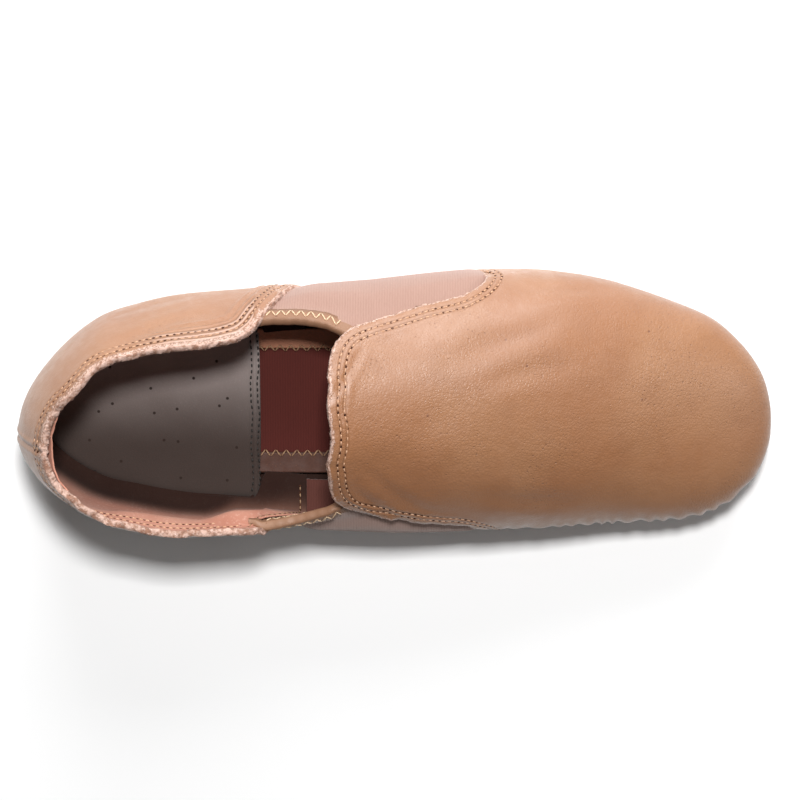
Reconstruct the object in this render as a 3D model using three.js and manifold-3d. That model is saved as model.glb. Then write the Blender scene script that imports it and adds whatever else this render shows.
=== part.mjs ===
// A slip-on jazz dance shoe for the left foot: a soft leather upper with elastic gores and a split sole.
// The toe points along +X, the outer side of the foot lies at +Y, and +Z is up. Lengths are in millimetres.
import * as THREE from 'three';
import { mergeVertices } from 'three/addons/utils/BufferGeometryUtils.js';
import Module from 'manifold-3d';

const wasm = await Module();
wasm.setup();

// Driving sizes of the whole shoe
const LENGTH = 246;
const BALL_WIDTH = 84;
const INSTEP_HEIGHT = 52; // underside of the arch to the tongue's ridge
const QUARTER_HEIGHT = 51; // heel seat to the topline at the back of the heel
const TOE_SPRING = 5;
const TOE_CAP = 42; // length over which the toe closes
const HEEL_CAP = 32; // length over which the heel closes
const TOE_SQUARENESS = 2.15; // exponent of the toe's outline, 2 is an ellipse
const HEEL_SQUARENESS = 2;
const UNDERSIDE_SQUARENESS = 3.2; // exponent with which the underside turns up at heel and toe

// Materials' thicknesses and the fit between pieces
const WALL = 1.6; // leather with its lining
const ELASTIC = 1.2;
const BINDING = 0.7; // one layer of the folded strip
const BINDING_WIDTH = 5;
const PAD = 3.5;
const INSOLE = 2;
const CLEARANCE = 0.3;
const TUCK = 6; // how far elastic runs on behind the leather's edge
const HEM = 4; // how far a gore runs on below its window, seen from the side

// Split sole
const HEEL_BLOCK = 8.7; // thickness under the heel seat
const HEEL_BLOCK_INSET = 5.5; // from the outline of the last
const HEEL_BLOCK_END = 70;
const HEEL_BLOCK_BOW = 4; // hollow of its front edge
const SOLE = 2.2; // thickness where the forefoot patch is flat
const SOLE_GROUND = 0.5; // taken off the patch where it stands on the floor
const SOLE_INSET = 9;
const SOLE_START = 140;
const SOLE_BOW = 8; // round of its back edge

// Bottom openings of the upper, each closed by a sole, a panel or an insole
const LASTING_MARGIN = 7.5; // leather turned under the edge of a sole
const ARCH_START = 72;
const ARCH_END = 126;
const ARCH_HALF_WIDTH = 18.5;
const ARCH_CORNER = 4;

// Inside
const PAD_INSET = 6.4;
const PAD_END = 79;
const PAD_ROLL = 1.6; // radius of its front edge
const INSOLE_INSET = 10.5;
const INSOLE_GAP = 2; // between the arch panel and the insole

// Heights of the upper's underside above the floor
const HEEL_SEAT = HEEL_BLOCK + CLEARANCE;
const BALL_SEAT = SOLE + CLEARANCE;

// Sections of the last, a row for each. along and slant are shares of LENGTH. centre, lateral, medial and
// lean are shares of BALL_WIDTH. rise is a share of the heel seat's lift over the ball, spring of TOE_SPRING.
// wide and top are heights over the underside as shares of INSTEP_HEIGHT. outer, inner and keel are the
// exponents of the section's upper lateral, upper medial and lower quarters.
const COLUMNS = ['along', 'centre', 'lateral', 'medial', 'rise', 'spring', 'wide', 'top',
  'outer', 'inner', 'keel', 'lean', 'slant'];
const SECTIONS = [
  [0.00, -0.060, 0.315, 0.270, 1.00, 0.00, 0.346, 1.365, 2.1, 2.1, 3.0, 0.000, 0.050],
  [0.06, -0.040, 0.362, 0.315, 1.00, 0.00, 0.327, 1.365, 2.1, 2.1, 3.0, -0.030, 0.042],
  [0.12, -0.015, 0.405, 0.370, 1.00, 0.00, 0.308, 1.346, 2.1, 2.1, 3.0, -0.060, 0.028],
  [0.20, 0.000, 0.450, 0.430, 1.09, 0.00, 0.277, 1.296, 2.1, 2.1, 2.9, -0.085, 0.010],
  [0.30, 0.010, 0.470, 0.460, 1.31, 0.00, 0.240, 1.154, 2.1, 2.05, 2.8, -0.070, 0.000],
  [0.40, 0.020, 0.482, 0.485, 1.38, 0.00, 0.212, 1.010, 2.1, 1.85, 2.8, -0.010, 0.000],
  [0.50, 0.025, 0.500, 0.508, 0.79, 0.00, 0.248, 0.969, 2.1, 1.95, 2.9, 0.000, 0.000],
  [0.60, 0.030, 0.512, 0.510, 0.17, 0.00, 0.287, 0.950, 2.1, 2.1, 3.1, 0.000, 0.000],
  [0.70, 0.028, 0.508, 0.505, 0.00, 0.00, 0.279, 0.865, 2.1, 2.1, 3.2, 0.000, 0.000],
  [0.78, 0.015, 0.480, 0.480, 0.00, 0.00, 0.260, 0.760, 2.1, 2.1, 3.2, 0.000, 0.000],
  [0.86, -0.010, 0.434, 0.450, 0.00, 0.18, 0.239, 0.637, 2.2, 2.2, 3.0, 0.000, 0.000],
  [0.93, -0.035, 0.428, 0.445, 0.00, 0.54, 0.208, 0.535, 2.3, 2.3, 2.8, 0.000, 0.000],
  [1.00, -0.060, 0.405, 0.425, 0.00, 1.00, 0.173, 0.452, 2.4, 2.4, 2.6, 0.000, 0.000],
];
const LEAN_POWER = 1.5; // how the lean grows towards the top of a section

// Lines in the side view. along is a share of LENGTH, up a share of the named height over the underside.
const TOPLINE = [[-0.060, 1.02], [0.020, 1.00], [0.100, 0.970], [0.180, 0.915], [0.245, 0.873],
  [0.290, 0.812], [0.312, 0.745], [0.324, 0.640]];
const QUARTER_FRONT = [[0.324, 0.628], [0.345, 0.400], [0.362, 0.220], [0.372, 0.168], [0.392, 0.150]];
const WINDOW_BASE = [[0.430, 0.158], [0.490, 0.198], [0.560, 0.262], [0.594, 0.310], [0.612, 0.355]];
const WING = [[0.6175, 0.415], [0.611, 0.505], [0.597, 0.575], [0.577, 0.621], [0.536, 0.650], [0.500, 0.685],
  [0.467, 0.715], [0.449, 0.735], [0.434, 0.763], [0.422, 0.812], [0.4155, 0.873], [0.413, 0.940]];
const RIM = [[0.270, 0.640], [0.321, 0.640], [0.370, 0.650], [0.419, 0.722], [0.455, 0.815], [0.510, 1.000]];
const ABOVE = 1.5; // height of the cutters, as a share of INSTEP_HEIGHT

// Fineness of the faceted forms
const GIRTH_STEPS = 36;
const HEEL_STEPS = 8;
const BODY_STEPS = 18;
const TOE_STEPS = 9;
const LINE_STEPS = 2; // points added between two points of a side-view line
const PRISM_SPAN = 2 * BALL_WIDTH; // wide enough to pass through the whole shoe

/** A smooth curve through a column of the section table, read at a share of the length. */
function column(name, share) {
  const k = COLUMNS.indexOf(name);
  const last = SECTIONS.length - 1;
  let i = 0;
  while (i < last - 1 && SECTIONS[i + 1][0] < share) i += 1;
  const slope = (j) => {
    const before = SECTIONS[Math.max(j - 1, 0)];
    const after = SECTIONS[Math.min(j + 1, last)];
    return (after[k] - before[k]) / (after[0] - before[0]);
  };
  const span = SECTIONS[i + 1][0] - SECTIONS[i][0];
  const t = (share - SECTIONS[i][0]) / span;
  return (2 * t ** 3 - 3 * t ** 2 + 1) * SECTIONS[i][k]
    + (t ** 3 - 2 * t ** 2 + t) * span * slope(i)
    + (3 * t ** 2 - 2 * t ** 3) * SECTIONS[i + 1][k]
    + (t ** 3 - t ** 2) * span * slope(i + 1);
}

/** Height of the last's underside along its middle. */
function seat(x) {
  const share = THREE.MathUtils.clamp(x / LENGTH, 0, 1);
  return BALL_SEAT + (HEEL_SEAT - BALL_SEAT) * column('rise', share) + TOE_SPRING * column('spring', share);
}

/** How far the last has opened at x: 0 at the tips of heel and toe, 1 between the caps. */
function opened(x, heelPower = HEEL_SQUARENESS, toePower = TOE_SQUARENESS) {
  const toe = THREE.MathUtils.clamp((x - LENGTH + TOE_CAP) / TOE_CAP, 0, 1);
  const heel = THREE.MathUtils.clamp((HEEL_CAP - x) / HEEL_CAP, 0, 1);
  return (1 - toe ** toePower) ** (1 / toePower) * (1 - heel ** heelPower) ** (1 / heelPower);
}

/** Measures of the last's section at x. */
function section(x) {
  const share = x / LENGTH;
  const low = seat(x);
  const wide = low + INSTEP_HEIGHT * column('wide', share);
  return {
    centre: BALL_WIDTH * column('centre', share),
    lateral: BALL_WIDTH * column('lateral', share) * opened(x),
    medial: BALL_WIDTH * column('medial', share) * opened(x),
    wide,
    over: (low + INSTEP_HEIGHT * column('top', share) - wide) * opened(x),
    under: (wide - low) * opened(x, UNDERSIDE_SQUARENESS, UNDERSIDE_SQUARENESS),
    outer: column('outer', share),
    inner: column('inner', share),
    keel: column('keel', share),
    lean: BALL_WIDTH * column('lean', share),
    slant: LENGTH * column('slant', share) * opened(x) ** 2,
  };
}

/** The last's surface at x and a girth angle: 0 at the lateral side, a quarter turn at the top. */
function lastPoint(x, angle) {
  const s = section(x);
  const side = Math.cos(angle);
  const up = Math.sin(angle);
  const crown = side > 0 ? s.outer : s.inner;
  const power = up > 0 ? crown : s.keel;
  const reach = (Math.abs(side) ** power + Math.abs(up) ** power) ** (-1 / power);
  const height = Math.max(up * reach, 0);
  return new THREE.Vector3(
    x + s.slant * height ** 2,
    s.centre + (side > 0 ? s.lateral : s.medial) * side * reach + s.lean * height ** LEAN_POWER,
    s.wide + (up > 0 ? s.over : s.under) * up * reach,
  );
}

/** Stations along the last between its two tips, closer together where it closes. */
function stations() {
  const list = [];
  for (let i = 1; i <= HEEL_STEPS; i += 1) {
    list.push(HEEL_CAP * (1 - Math.cos((Math.PI / 2) * (i / HEEL_STEPS))));
  }
  const body = LENGTH - TOE_CAP - HEEL_CAP;
  for (let i = 1; i <= BODY_STEPS; i += 1) list.push(HEEL_CAP + body * (i / BODY_STEPS));
  for (let i = 1; i < TOE_STEPS; i += 1) {
    list.push(LENGTH - TOE_CAP * (1 - Math.sin((Math.PI / 2) * (i / TOE_STEPS))));
  }
  return list;
}

/** The closed skin of the last, with the normals that the wall is measured along. */
function lastSkin() {
  const rings = stations();
  const points = [lastPoint(0, 0)];
  for (const x of rings) {
    for (let k = 0; k < GIRTH_STEPS; k += 1) points.push(lastPoint(x, (2 * Math.PI * k) / GIRTH_STEPS));
  }
  const toe = points.push(lastPoint(LENGTH, 0)) - 1;
  const at = (ring, k) => 1 + ring * GIRTH_STEPS + (k % GIRTH_STEPS);
  const faces = [];
  const end = rings.length - 1;
  for (let k = 0; k < GIRTH_STEPS; k += 1) {
    faces.push(0, at(0, k + 1), at(0, k), toe, at(end, k), at(end, k + 1));
    for (let ring = 0; ring < end; ring += 1) {
      faces.push(at(ring, k), at(ring, k + 1), at(ring + 1, k + 1));
      faces.push(at(ring, k), at(ring + 1, k + 1), at(ring + 1, k));
    }
  }
  const skin = new THREE.BufferGeometry().setFromPoints(points);
  skin.setIndex(faces);
  skin.computeVertexNormals();
  return skin;
}

/** A closed three.js geometry as a solid for joining and cutting. */
function solid(geometry) {
  const bare = geometry.clone();
  bare.deleteAttribute('normal');
  bare.deleteAttribute('uv');
  const merged = mergeVertices(bare, 1e-5);
  return new wasm.Manifold(new wasm.Mesh({
    numProp: 3,
    vertProperties: new Float32Array(merged.attributes.position.array),
    triVerts: new Uint32Array(merged.index.array),
  }));
}

const skin = lastSkin();

/** The last as a solid, its skin moved inwards by inset, or outwards where that is negative. */
function lastForm(inset) {
  const form = skin.clone();
  const { position, normal } = form.attributes;
  for (let i = 0; i < position.count; i += 1) {
    position.setXYZ(
      i,
      position.getX(i) - inset * normal.getX(i),
      position.getY(i) - inset * normal.getY(i),
      position.getZ(i) - inset * normal.getZ(i),
    );
  }
  return solid(form);
}

/** A layer that follows the last, between two insets. */
function layer(from, to) {
  return lastForm(from).subtract(lastForm(to));
}

/** A smooth line in the side view through rows of shares, its heights shares of height. */
function sideLine(rows, height = INSTEP_HEIGHT) {
  const knots = rows.map(([along, up]) => {
    const x = along * LENGTH;
    return new THREE.Vector2(x, seat(x) + up * height);
  });
  return new THREE.SplineCurve(knots).getPoints((rows.length - 1) * (LINE_STEPS + 1));
}

/** A line moved by dx and dz. */
function moved(line, dx, dz) {
  return line.map((p) => new THREE.Vector2(p.x + dx, p.y + dz));
}

/** A closed outline moved outwards by distance, or inwards where that is negative. */
function grown(outline, distance) {
  const turn = THREE.ShapeUtils.isClockWise(outline) ? -1 : 1;
  return outline.map((p, i) => {
    const before = outline[(i + outline.length - 1) % outline.length];
    const after = outline[(i + 1) % outline.length];
    const a = p.clone().sub(before).normalize();
    const b = after.clone().sub(p).normalize();
    const miter = a.clone().add(b).normalize();
    const stretch = Math.min(1 / Math.max(miter.dot(a), 0.5), 2);
    return new THREE.Vector2(p.x + turn * miter.y * distance * stretch, p.y - turn * miter.x * distance * stretch);
  });
}

/** An outline of the side view, given as x and z, carried across the shoe from y = low to y = high. */
function sidePrism(outline, low = -PRISM_SPAN / 2, high = PRISM_SPAN / 2) {
  const prism = new THREE.ExtrudeGeometry(new THREE.Shape(outline), { depth: high - low, bevelEnabled: false });
  prism.rotateX(Math.PI / 2);
  prism.translate(0, high, 0);
  return solid(prism);
}

/** An outline of the plan view, given as x and y, raised from z = low to z = high. */
function planPrism(outline, low, high) {
  const prism = new THREE.ExtrudeGeometry(new THREE.Shape(outline), { depth: high - low, bevelEnabled: false });
  prism.translate(0, 0, low);
  return solid(prism);
}

/** The last's outline from above, moved in by inset and kept between two stations, with bowed ends. */
function lastOutline({ inset, start = 0, end = LENGTH, startBow = 0, endBow = 0 }) {
  const rings = [0, ...stations(), LENGTH];
  const lateral = rings.map((x) => new THREE.Vector2(x, section(x).centre + section(x).lateral));
  const medial = rings.slice(1, -1).map((x) => new THREE.Vector2(x, section(x).centre - section(x).medial));
  const inner = grown([...lateral, ...medial.reverse()], -inset);
  const sides = [inner.slice(0, rings.length), [...inner.slice(rings.length), inner[0]].reverse()];
  sides[1].push(inner[rings.length - 1]);
  const kept = sides.map((side) => {
    const cut = (x) => {
      const i = side.findIndex((p) => p.x >= x);
      return side[i - 1].clone().lerp(side[i], (x - side[i - 1].x) / (side[i].x - side[i - 1].x));
    };
    const list = side.filter((p) => p.x > start && p.x < end);
    if (start > 0) list.unshift(cut(start));
    if (end < LENGTH) list.push(cut(end));
    return list;
  });
  const bow = (from, to, depth) => {
    const middle = from.clone().add(to).multiplyScalar(0.5).add(new THREE.Vector2(depth, 0));
    return new THREE.QuadraticBezierCurve(from, middle, to).getPoints(8).slice(1, -1);
  };
  const [outer, other] = kept;
  const front = end < LENGTH ? bow(outer.at(-1), other.at(-1), 2 * endBow) : [];
  const back = start > 0 ? bow(other[0], outer[0], 2 * startBow) : [];
  const tip = new Set([...outer, ...front]);
  return [...outer, ...front, ...other.reverse().filter((p) => !tip.has(p)), ...back];
}

/** A rectangle with round corners in the plan view. */
function roundedPlan(x0, x1, y0, y1, radius) {
  const shape = new THREE.Shape();
  shape.moveTo(x0 + radius, y0);
  shape.absarc(x1 - radius, y0 + radius, radius, -Math.PI / 2, 0);
  shape.absarc(x1 - radius, y1 - radius, radius, 0, Math.PI / 2);
  shape.absarc(x0 + radius, y1 - radius, radius, Math.PI / 2, Math.PI);
  shape.absarc(x0 + radius, y0 + radius, radius, Math.PI, 1.5 * Math.PI);
  return shape.extractPoints(4).shape;
}

// Collar, throat and gore windows are one outline in the side view, from the heel round to the tongue
const ceiling = INSTEP_HEIGHT * ABOVE + HEEL_SEAT;
const topline = sideLine(TOPLINE, QUARTER_HEIGHT);
const quarterFront = sideLine(QUARTER_FRONT);
const windowBase = sideLine(WINDOW_BASE);
const wing = sideLine(WING);
const rim = sideLine(RIM);
const collar = [
  ...topline,
  ...quarterFront,
  ...windowBase,
  ...wing,
  new THREE.Vector2(wing.at(-1).x, ceiling),
  new THREE.Vector2(topline[0].x, ceiling),
];

const archCentre = section((ARCH_START + ARCH_END) / 2).centre;
const archWindow = roundedPlan(
  ARCH_START,
  ARCH_END,
  archCentre - ARCH_HALF_WIDTH,
  archCentre + ARCH_HALF_WIDTH,
  ARCH_CORNER,
);
const archReach = grown(archWindow, TUCK);
const middle = HEEL_SEAT + INSTEP_HEIGHT / 4; // a height between the underside and the ridge everywhere

/** The leather upper, open at the collar, the gore windows and three places underneath. */
function makeUpper() {
  const heelOpening = lastOutline({
    inset: HEEL_BLOCK_INSET + LASTING_MARGIN,
    end: HEEL_BLOCK_END - HEEL_BLOCK_BOW - LASTING_MARGIN,
  });
  const forefootOpening = lastOutline({
    inset: SOLE_INSET + LASTING_MARGIN,
    start: SOLE_START + LASTING_MARGIN,
    startBow: -SOLE_BOW / 2,
  });
  return layer(0, WALL)
    .subtract(sidePrism(collar))
    .subtract(planPrism(heelOpening, -middle, middle))
    .subtract(planPrism(forefootOpening, -middle, middle))
    .subtract(planPrism(archWindow, -middle, middle));
}

/** The side-view band that a gore fills: under its rim, behind the quarter's front and over its hem. */
function goreBand(under) {
  const back = moved([quarterFront[0], quarterFront.at(-1)], -TUCK, 0);
  const hem = moved([...quarterFront.slice(-3), ...windowBase], 0, -HEM);
  const front = LENGTH - TOE_CAP;
  const top = moved(rim, 0, -under).filter((p) => p.x > back[0].x);
  return [
    new THREE.Vector2(back[0].x, top[0].y),
    ...top,
    new THREE.Vector2(front, top.at(-1).y),
    new THREE.Vector2(front, hem.at(-1).y),
    ...hem.toReversed(),
    new THREE.Vector2(back[1].x, hem[0].y),
  ];
}

/** The stretch of y that a side of the shoe covers. */
function sideSpan(side) {
  return side > 0 ? [0, PRISM_SPAN / 2] : [-PRISM_SPAN / 2, 0];
}

/** One elastic gore, behind the leather on the given side. */
function makeGore(side) {
  const outside = WALL + CLEARANCE;
  return layer(outside, outside + ELASTIC)
    .intersect(sidePrism(grown(collar, TUCK), ...sideSpan(side)))
    .intersect(sidePrism(goreBand(BINDING + CLEARANCE), ...sideSpan(side)))
    .subtract(planPrism(grown(archReach, CLEARANCE), -middle, middle));
}

/** The strip folded over the top edge of a gore, between the edges of the leather. */
function makeBinding(side) {
  const strip = [...rim, ...moved(rim, 0, -BINDING_WIDTH).reverse()];
  const outside = WALL - BINDING;
  const inside = WALL + CLEARANCE + ELASTIC + CLEARANCE + BINDING;
  const slot = layer(WALL, inside - BINDING).intersect(sidePrism(goreBand(BINDING), ...sideSpan(side)));
  return layer(outside, inside)
    .intersect(sidePrism(strip, ...sideSpan(side)))
    .intersect(sidePrism(grown(collar, -CLEARANCE), ...sideSpan(side)))
    .subtract(slot);
}

/** The elastic under the arch. */
function makeArchPanel() {
  const outside = WALL + CLEARANCE;
  return layer(outside, outside + ELASTIC).intersect(planPrism(archReach, -middle, middle));
}

/** The heel sock, flat across its top, with a rolled front edge. */
function makeHeelPad() {
  const lift = WALL + CLEARANCE + PAD;
  const steps = 12;
  const top = Array.from({ length: steps + 1 }, (_, i) => {
    const x = ((PAD_END - PAD_ROLL) * i) / steps;
    return new THREE.Vector2(x, seat(x) + lift);
  });
  const crest = top.at(-1);
  const roll = [60, 30, 0, -45].map((degrees) => {
    const angle = THREE.MathUtils.degToRad(degrees);
    return new THREE.Vector2(
      crest.x + PAD_ROLL * Math.cos(angle),
      crest.y - PAD_ROLL + PAD_ROLL * Math.sin(angle),
    );
  });
  const floor = seat(PAD_END);
  const profile = [...top, ...roll, new THREE.Vector2(crest.x, floor), new THREE.Vector2(crest.x, 0),
    new THREE.Vector2(0, 0)];
  const reliefStart = ARCH_START - TUCK - CLEARANCE;
  const relief = planPrism(roundedPlan(reliefStart, 2 * PAD_END, -BALL_WIDTH, BALL_WIDTH, 1), -middle, 2 * middle)
    .subtract(lastForm(WALL + 2 * CLEARANCE + ELASTIC));
  return lastForm(WALL + CLEARANCE)
    .intersect(sidePrism(profile))
    .intersect(planPrism(lastOutline({ inset: PAD_INSET }), -middle, 2 * middle))
    .subtract(relief);
}

/** The thin insole over the forefoot's opening. */
function makeForefootInsole() {
  const outline = lastOutline({ inset: INSOLE_INSET, start: ARCH_END + TUCK + INSOLE_GAP });
  const outside = WALL + CLEARANCE;
  return layer(outside, outside + INSOLE).intersect(planPrism(outline, -middle, middle));
}

/** The heel block, flat below and hollowed to the heel above. */
function makeHeelSole() {
  const outline = lastOutline({ inset: HEEL_BLOCK_INSET, end: HEEL_BLOCK_END, endBow: -HEEL_BLOCK_BOW });
  return planPrism(outline, 0, middle).subtract(lastForm(-CLEARANCE));
}

/** The forefoot patch, which follows the last and is ground flat where it stands. */
function makeForefootSole() {
  const outline = lastOutline({ inset: SOLE_INSET, start: SOLE_START, startBow: -SOLE_BOW });
  return layer(-CLEARANCE - SOLE - SOLE_GROUND, -CLEARANCE).intersect(planPrism(outline, 0, middle));
}

const FINISHES = {
  leather: { color: 0xc88f68, roughness: 0.55, metalness: 0 },
  elastic: { color: 0xb98475, roughness: 0.85, metalness: 0 },
  archElastic: { color: 0x8a4a3e, roughness: 0.85, metalness: 0 },
  binding: { color: 0xcf9c78, roughness: 0.6, metalness: 0 },
  pad: { color: 0x9a908f, roughness: 0.9, metalness: 0 },
  insole: { color: 0xb0a499, roughness: 0.9, metalness: 0 },
  rubber: { color: 0x1d1c1c, roughness: 0.8, metalness: 0 },
};

/** A named mesh of a solid. */
function piece(name, body, finish) {
  const { vertProperties, triVerts } = body.getMesh();
  const geometry = new THREE.BufferGeometry();
  geometry.setAttribute('position', new THREE.BufferAttribute(new Float32Array(vertProperties), 3));
  geometry.setIndex(new THREE.BufferAttribute(new Uint32Array(triVerts), 1));
  geometry.computeVertexNormals();
  const mesh = new THREE.Mesh(geometry, new THREE.MeshStandardMaterial(FINISHES[finish]));
  mesh.name = name;
  return mesh;
}

const shoe = new THREE.Group();
shoe.add(piece('upper', makeUpper(), 'leather'));
shoe.add(piece('gore_lateral', makeGore(1), 'elastic'));
shoe.add(piece('gore_medial', makeGore(-1), 'elastic'));
shoe.add(piece('binding_lateral', makeBinding(1), 'binding'));
shoe.add(piece('binding_medial', makeBinding(-1), 'binding'));
shoe.add(piece('arch_panel', makeArchPanel(), 'archElastic'));
shoe.add(piece('heel_pad', makeHeelPad(), 'pad'));
shoe.add(piece('forefoot_insole', makeForefootInsole(), 'insole'));
shoe.add(piece('heel_sole', makeHeelSole(), 'rubber'));
shoe.add(piece('forefoot_sole', makeForefootSole(), 'rubber'));

// The origin is on the floor under the middle of the shoe's box
const box = new THREE.Box3().setFromObject(shoe);
shoe.position.set(-(box.min.x + box.max.x) / 2, -(box.min.y + box.max.y) / 2, -box.min.z);

export default shoe;
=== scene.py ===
"""A slip-on jazz dance shoe with a split sole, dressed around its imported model.

Every surface is worked out from the shoe's last: a station along the shoe and a girth angle round it give a
point and a normal, and each piece lies at its own depth under that skin. Lengths are in millimetres in the
last's own frame, and turn to metres in the row's frame where a mesh is made.
"""

from __future__ import annotations

import logging
import math
from dataclasses import dataclass, field
from enum import Enum
from functools import reduce

import bpy
import numpy as np
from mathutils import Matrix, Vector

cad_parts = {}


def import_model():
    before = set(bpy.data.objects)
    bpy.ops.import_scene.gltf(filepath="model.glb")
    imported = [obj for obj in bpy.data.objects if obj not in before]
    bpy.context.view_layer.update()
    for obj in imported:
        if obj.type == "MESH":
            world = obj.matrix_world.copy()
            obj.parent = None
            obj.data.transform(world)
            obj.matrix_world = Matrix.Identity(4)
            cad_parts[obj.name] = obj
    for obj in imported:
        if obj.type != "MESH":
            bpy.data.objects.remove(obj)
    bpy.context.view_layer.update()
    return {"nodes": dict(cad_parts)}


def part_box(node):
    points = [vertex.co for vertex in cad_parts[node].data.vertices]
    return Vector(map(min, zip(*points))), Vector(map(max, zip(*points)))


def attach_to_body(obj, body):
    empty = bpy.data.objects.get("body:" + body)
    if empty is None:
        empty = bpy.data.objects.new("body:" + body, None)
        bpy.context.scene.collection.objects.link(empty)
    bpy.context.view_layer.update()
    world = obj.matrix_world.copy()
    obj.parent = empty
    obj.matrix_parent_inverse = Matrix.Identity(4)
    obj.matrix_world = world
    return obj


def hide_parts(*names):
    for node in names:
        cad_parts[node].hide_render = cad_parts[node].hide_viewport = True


Array = np.ndarray
Object = bpy.types.Object
Material = bpy.types.Material
LOG = logging.getLogger("shoe")
MM = 0.001
TURN = 2 * math.pi
TOP = math.pi / 2
BOTTOM = 3 * math.pi / 2


class Side(Enum):
    """The two sides of the shoe, with the sign of y on each."""

    LATERAL = 1
    MEDIAL = -1


@dataclass(frozen=True)
class Sizes:
    """The shoe's driving sizes, in millimetres."""

    length: float = 246.0
    ball_width: float = 84.0
    instep_height: float = 52.0
    quarter_height: float = 51.0
    toe_spring: float = 5.0
    toe_cap: float = 42.0
    heel_cap: float = 32.0
    toe_squareness: float = 2.15
    heel_squareness: float = 2.0
    underside_squareness: float = 3.2
    wall: float = 1.6
    elastic: float = 1.2
    binding: float = 0.7
    binding_width: float = 5.0
    pad: float = 3.5
    clearance: float = 0.3
    tuck: float = 6.0
    heel_block: float = 8.7
    heel_block_inset: float = 5.5
    heel_block_end: float = 70.0
    heel_block_bow: float = 4.0
    sole: float = 2.2
    sole_ground: float = 0.5
    sole_inset: float = 9.0
    sole_start: float = 140.0
    sole_bow: float = 8.0
    arch_start: float = 72.0
    arch_end: float = 126.0
    arch_half_width: float = 18.5
    arch_corner: float = 4.0
    pad_inset: float = 6.4
    pad_end: float = 79.0
    pad_roll: float = 1.6

    @property
    def heel_seat(self) -> float:
        """Height of the last's underside at the heel."""
        return self.heel_block + self.clearance

    @property
    def ball_seat(self) -> float:
        """Height of the last's underside at the ball."""
        return self.sole + self.clearance


# Sections of the last. along and slant are shares of the length; centre, lateral, medial and lean are
# shares of the ball width; rise is one of the heel seat's lift over the ball, spring one of the toe spring,
# and wide and top are shares of the instep height. outer, inner and keel are the section's exponents
COLUMNS = (
    "along", "centre", "lateral", "medial", "rise", "spring", "wide", "top", "outer", "inner", "keel", "lean",
    "slant",
)
SECTIONS = (
    (0.00, -0.060, 0.315, 0.270, 1.00, 0.00, 0.346, 1.365, 2.1, 2.1, 3.0, 0.000, 0.050),
    (0.06, -0.040, 0.362, 0.315, 1.00, 0.00, 0.327, 1.365, 2.1, 2.1, 3.0, -0.030, 0.042),
    (0.12, -0.015, 0.405, 0.370, 1.00, 0.00, 0.308, 1.346, 2.1, 2.1, 3.0, -0.060, 0.028),
    (0.20, 0.000, 0.450, 0.430, 1.09, 0.00, 0.277, 1.296, 2.1, 2.1, 2.9, -0.085, 0.010),
    (0.30, 0.010, 0.470, 0.460, 1.31, 0.00, 0.240, 1.154, 2.1, 2.05, 2.8, -0.070, 0.000),
    (0.40, 0.020, 0.482, 0.485, 1.38, 0.00, 0.212, 1.010, 2.1, 1.85, 2.8, -0.010, 0.000),
    (0.50, 0.025, 0.500, 0.508, 0.79, 0.00, 0.248, 0.969, 2.1, 1.95, 2.9, 0.000, 0.000),
    (0.60, 0.030, 0.512, 0.510, 0.17, 0.00, 0.287, 0.950, 2.1, 2.1, 3.1, 0.000, 0.000),
    (0.70, 0.028, 0.508, 0.505, 0.00, 0.00, 0.279, 0.865, 2.1, 2.1, 3.2, 0.000, 0.000),
    (0.78, 0.015, 0.480, 0.480, 0.00, 0.00, 0.260, 0.760, 2.1, 2.1, 3.2, 0.000, 0.000),
    (0.86, -0.010, 0.434, 0.450, 0.00, 0.18, 0.239, 0.637, 2.2, 2.2, 3.0, 0.000, 0.000),
    (0.93, -0.035, 0.428, 0.445, 0.00, 0.54, 0.208, 0.535, 2.3, 2.3, 2.8, 0.000, 0.000),
    (1.00, -0.060, 0.405, 0.425, 0.00, 1.00, 0.173, 0.452, 2.4, 2.4, 2.6, 0.000, 0.000),
)
LEAN_POWER = 1.5

# How far the two seam rows run inside the leather's edge, and how thick that edge is on each piece
SEAM_ROWS = (2.8, 4.9)
QUARTER_EDGE = 2.3
VAMP_EDGE = 1.5

# Lines in the side view: along is a share of the length, up a share of a height over the underside
TOPLINE = (
    (-0.060, 1.02), (0.020, 1.00), (0.100, 0.970), (0.180, 0.915), (0.245, 0.873), (0.290, 0.812),
    (0.312, 0.745), (0.324, 0.640),
)
QUARTER_FRONT = ((0.324, 0.628), (0.345, 0.400), (0.362, 0.220), (0.372, 0.168), (0.392, 0.150))
WINDOW_BASE = ((0.430, 0.158), (0.490, 0.198), (0.560, 0.262), (0.594, 0.310), (0.612, 0.355))
WING = (
    (0.6175, 0.415), (0.611, 0.505), (0.597, 0.575), (0.577, 0.621), (0.536, 0.650), (0.500, 0.685),
    (0.467, 0.715), (0.449, 0.735), (0.434, 0.763), (0.422, 0.812), (0.4155, 0.873), (0.413, 0.940),
)
RIM = ((0.270, 0.640), (0.321, 0.640), (0.370, 0.650), (0.419, 0.722), (0.455, 0.815), (0.510, 1.000))

# The tongue's back edge: share of the way across from the lateral corner, and how far it steps forward in mm
TONGUE_EDGE = (
    (0.00, 0.6), (0.10, 0.3), (0.20, 0.0), (0.32, 0.05), (0.42, 0.6), (0.52, 1.0), (0.68, 0.9), (0.78, 0.2),
    (0.88, -0.3), (0.95, -0.2), (1.00, 0.4),
)


def smooth_step(low: float, high: float, value: Array) -> Array:
    """0 below low, 1 above high, and a cubic ease between them."""
    t = np.clip((np.asarray(value, float) - low) / (high - low), 0, 1)
    return t * t * (3 - 2 * t)


def bell(value: Array, middle: float, width: float) -> Array:
    """A bell curve: 1 at its middle, about a third at its width."""
    return np.exp(-(((value - middle) / width) ** 2))


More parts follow.
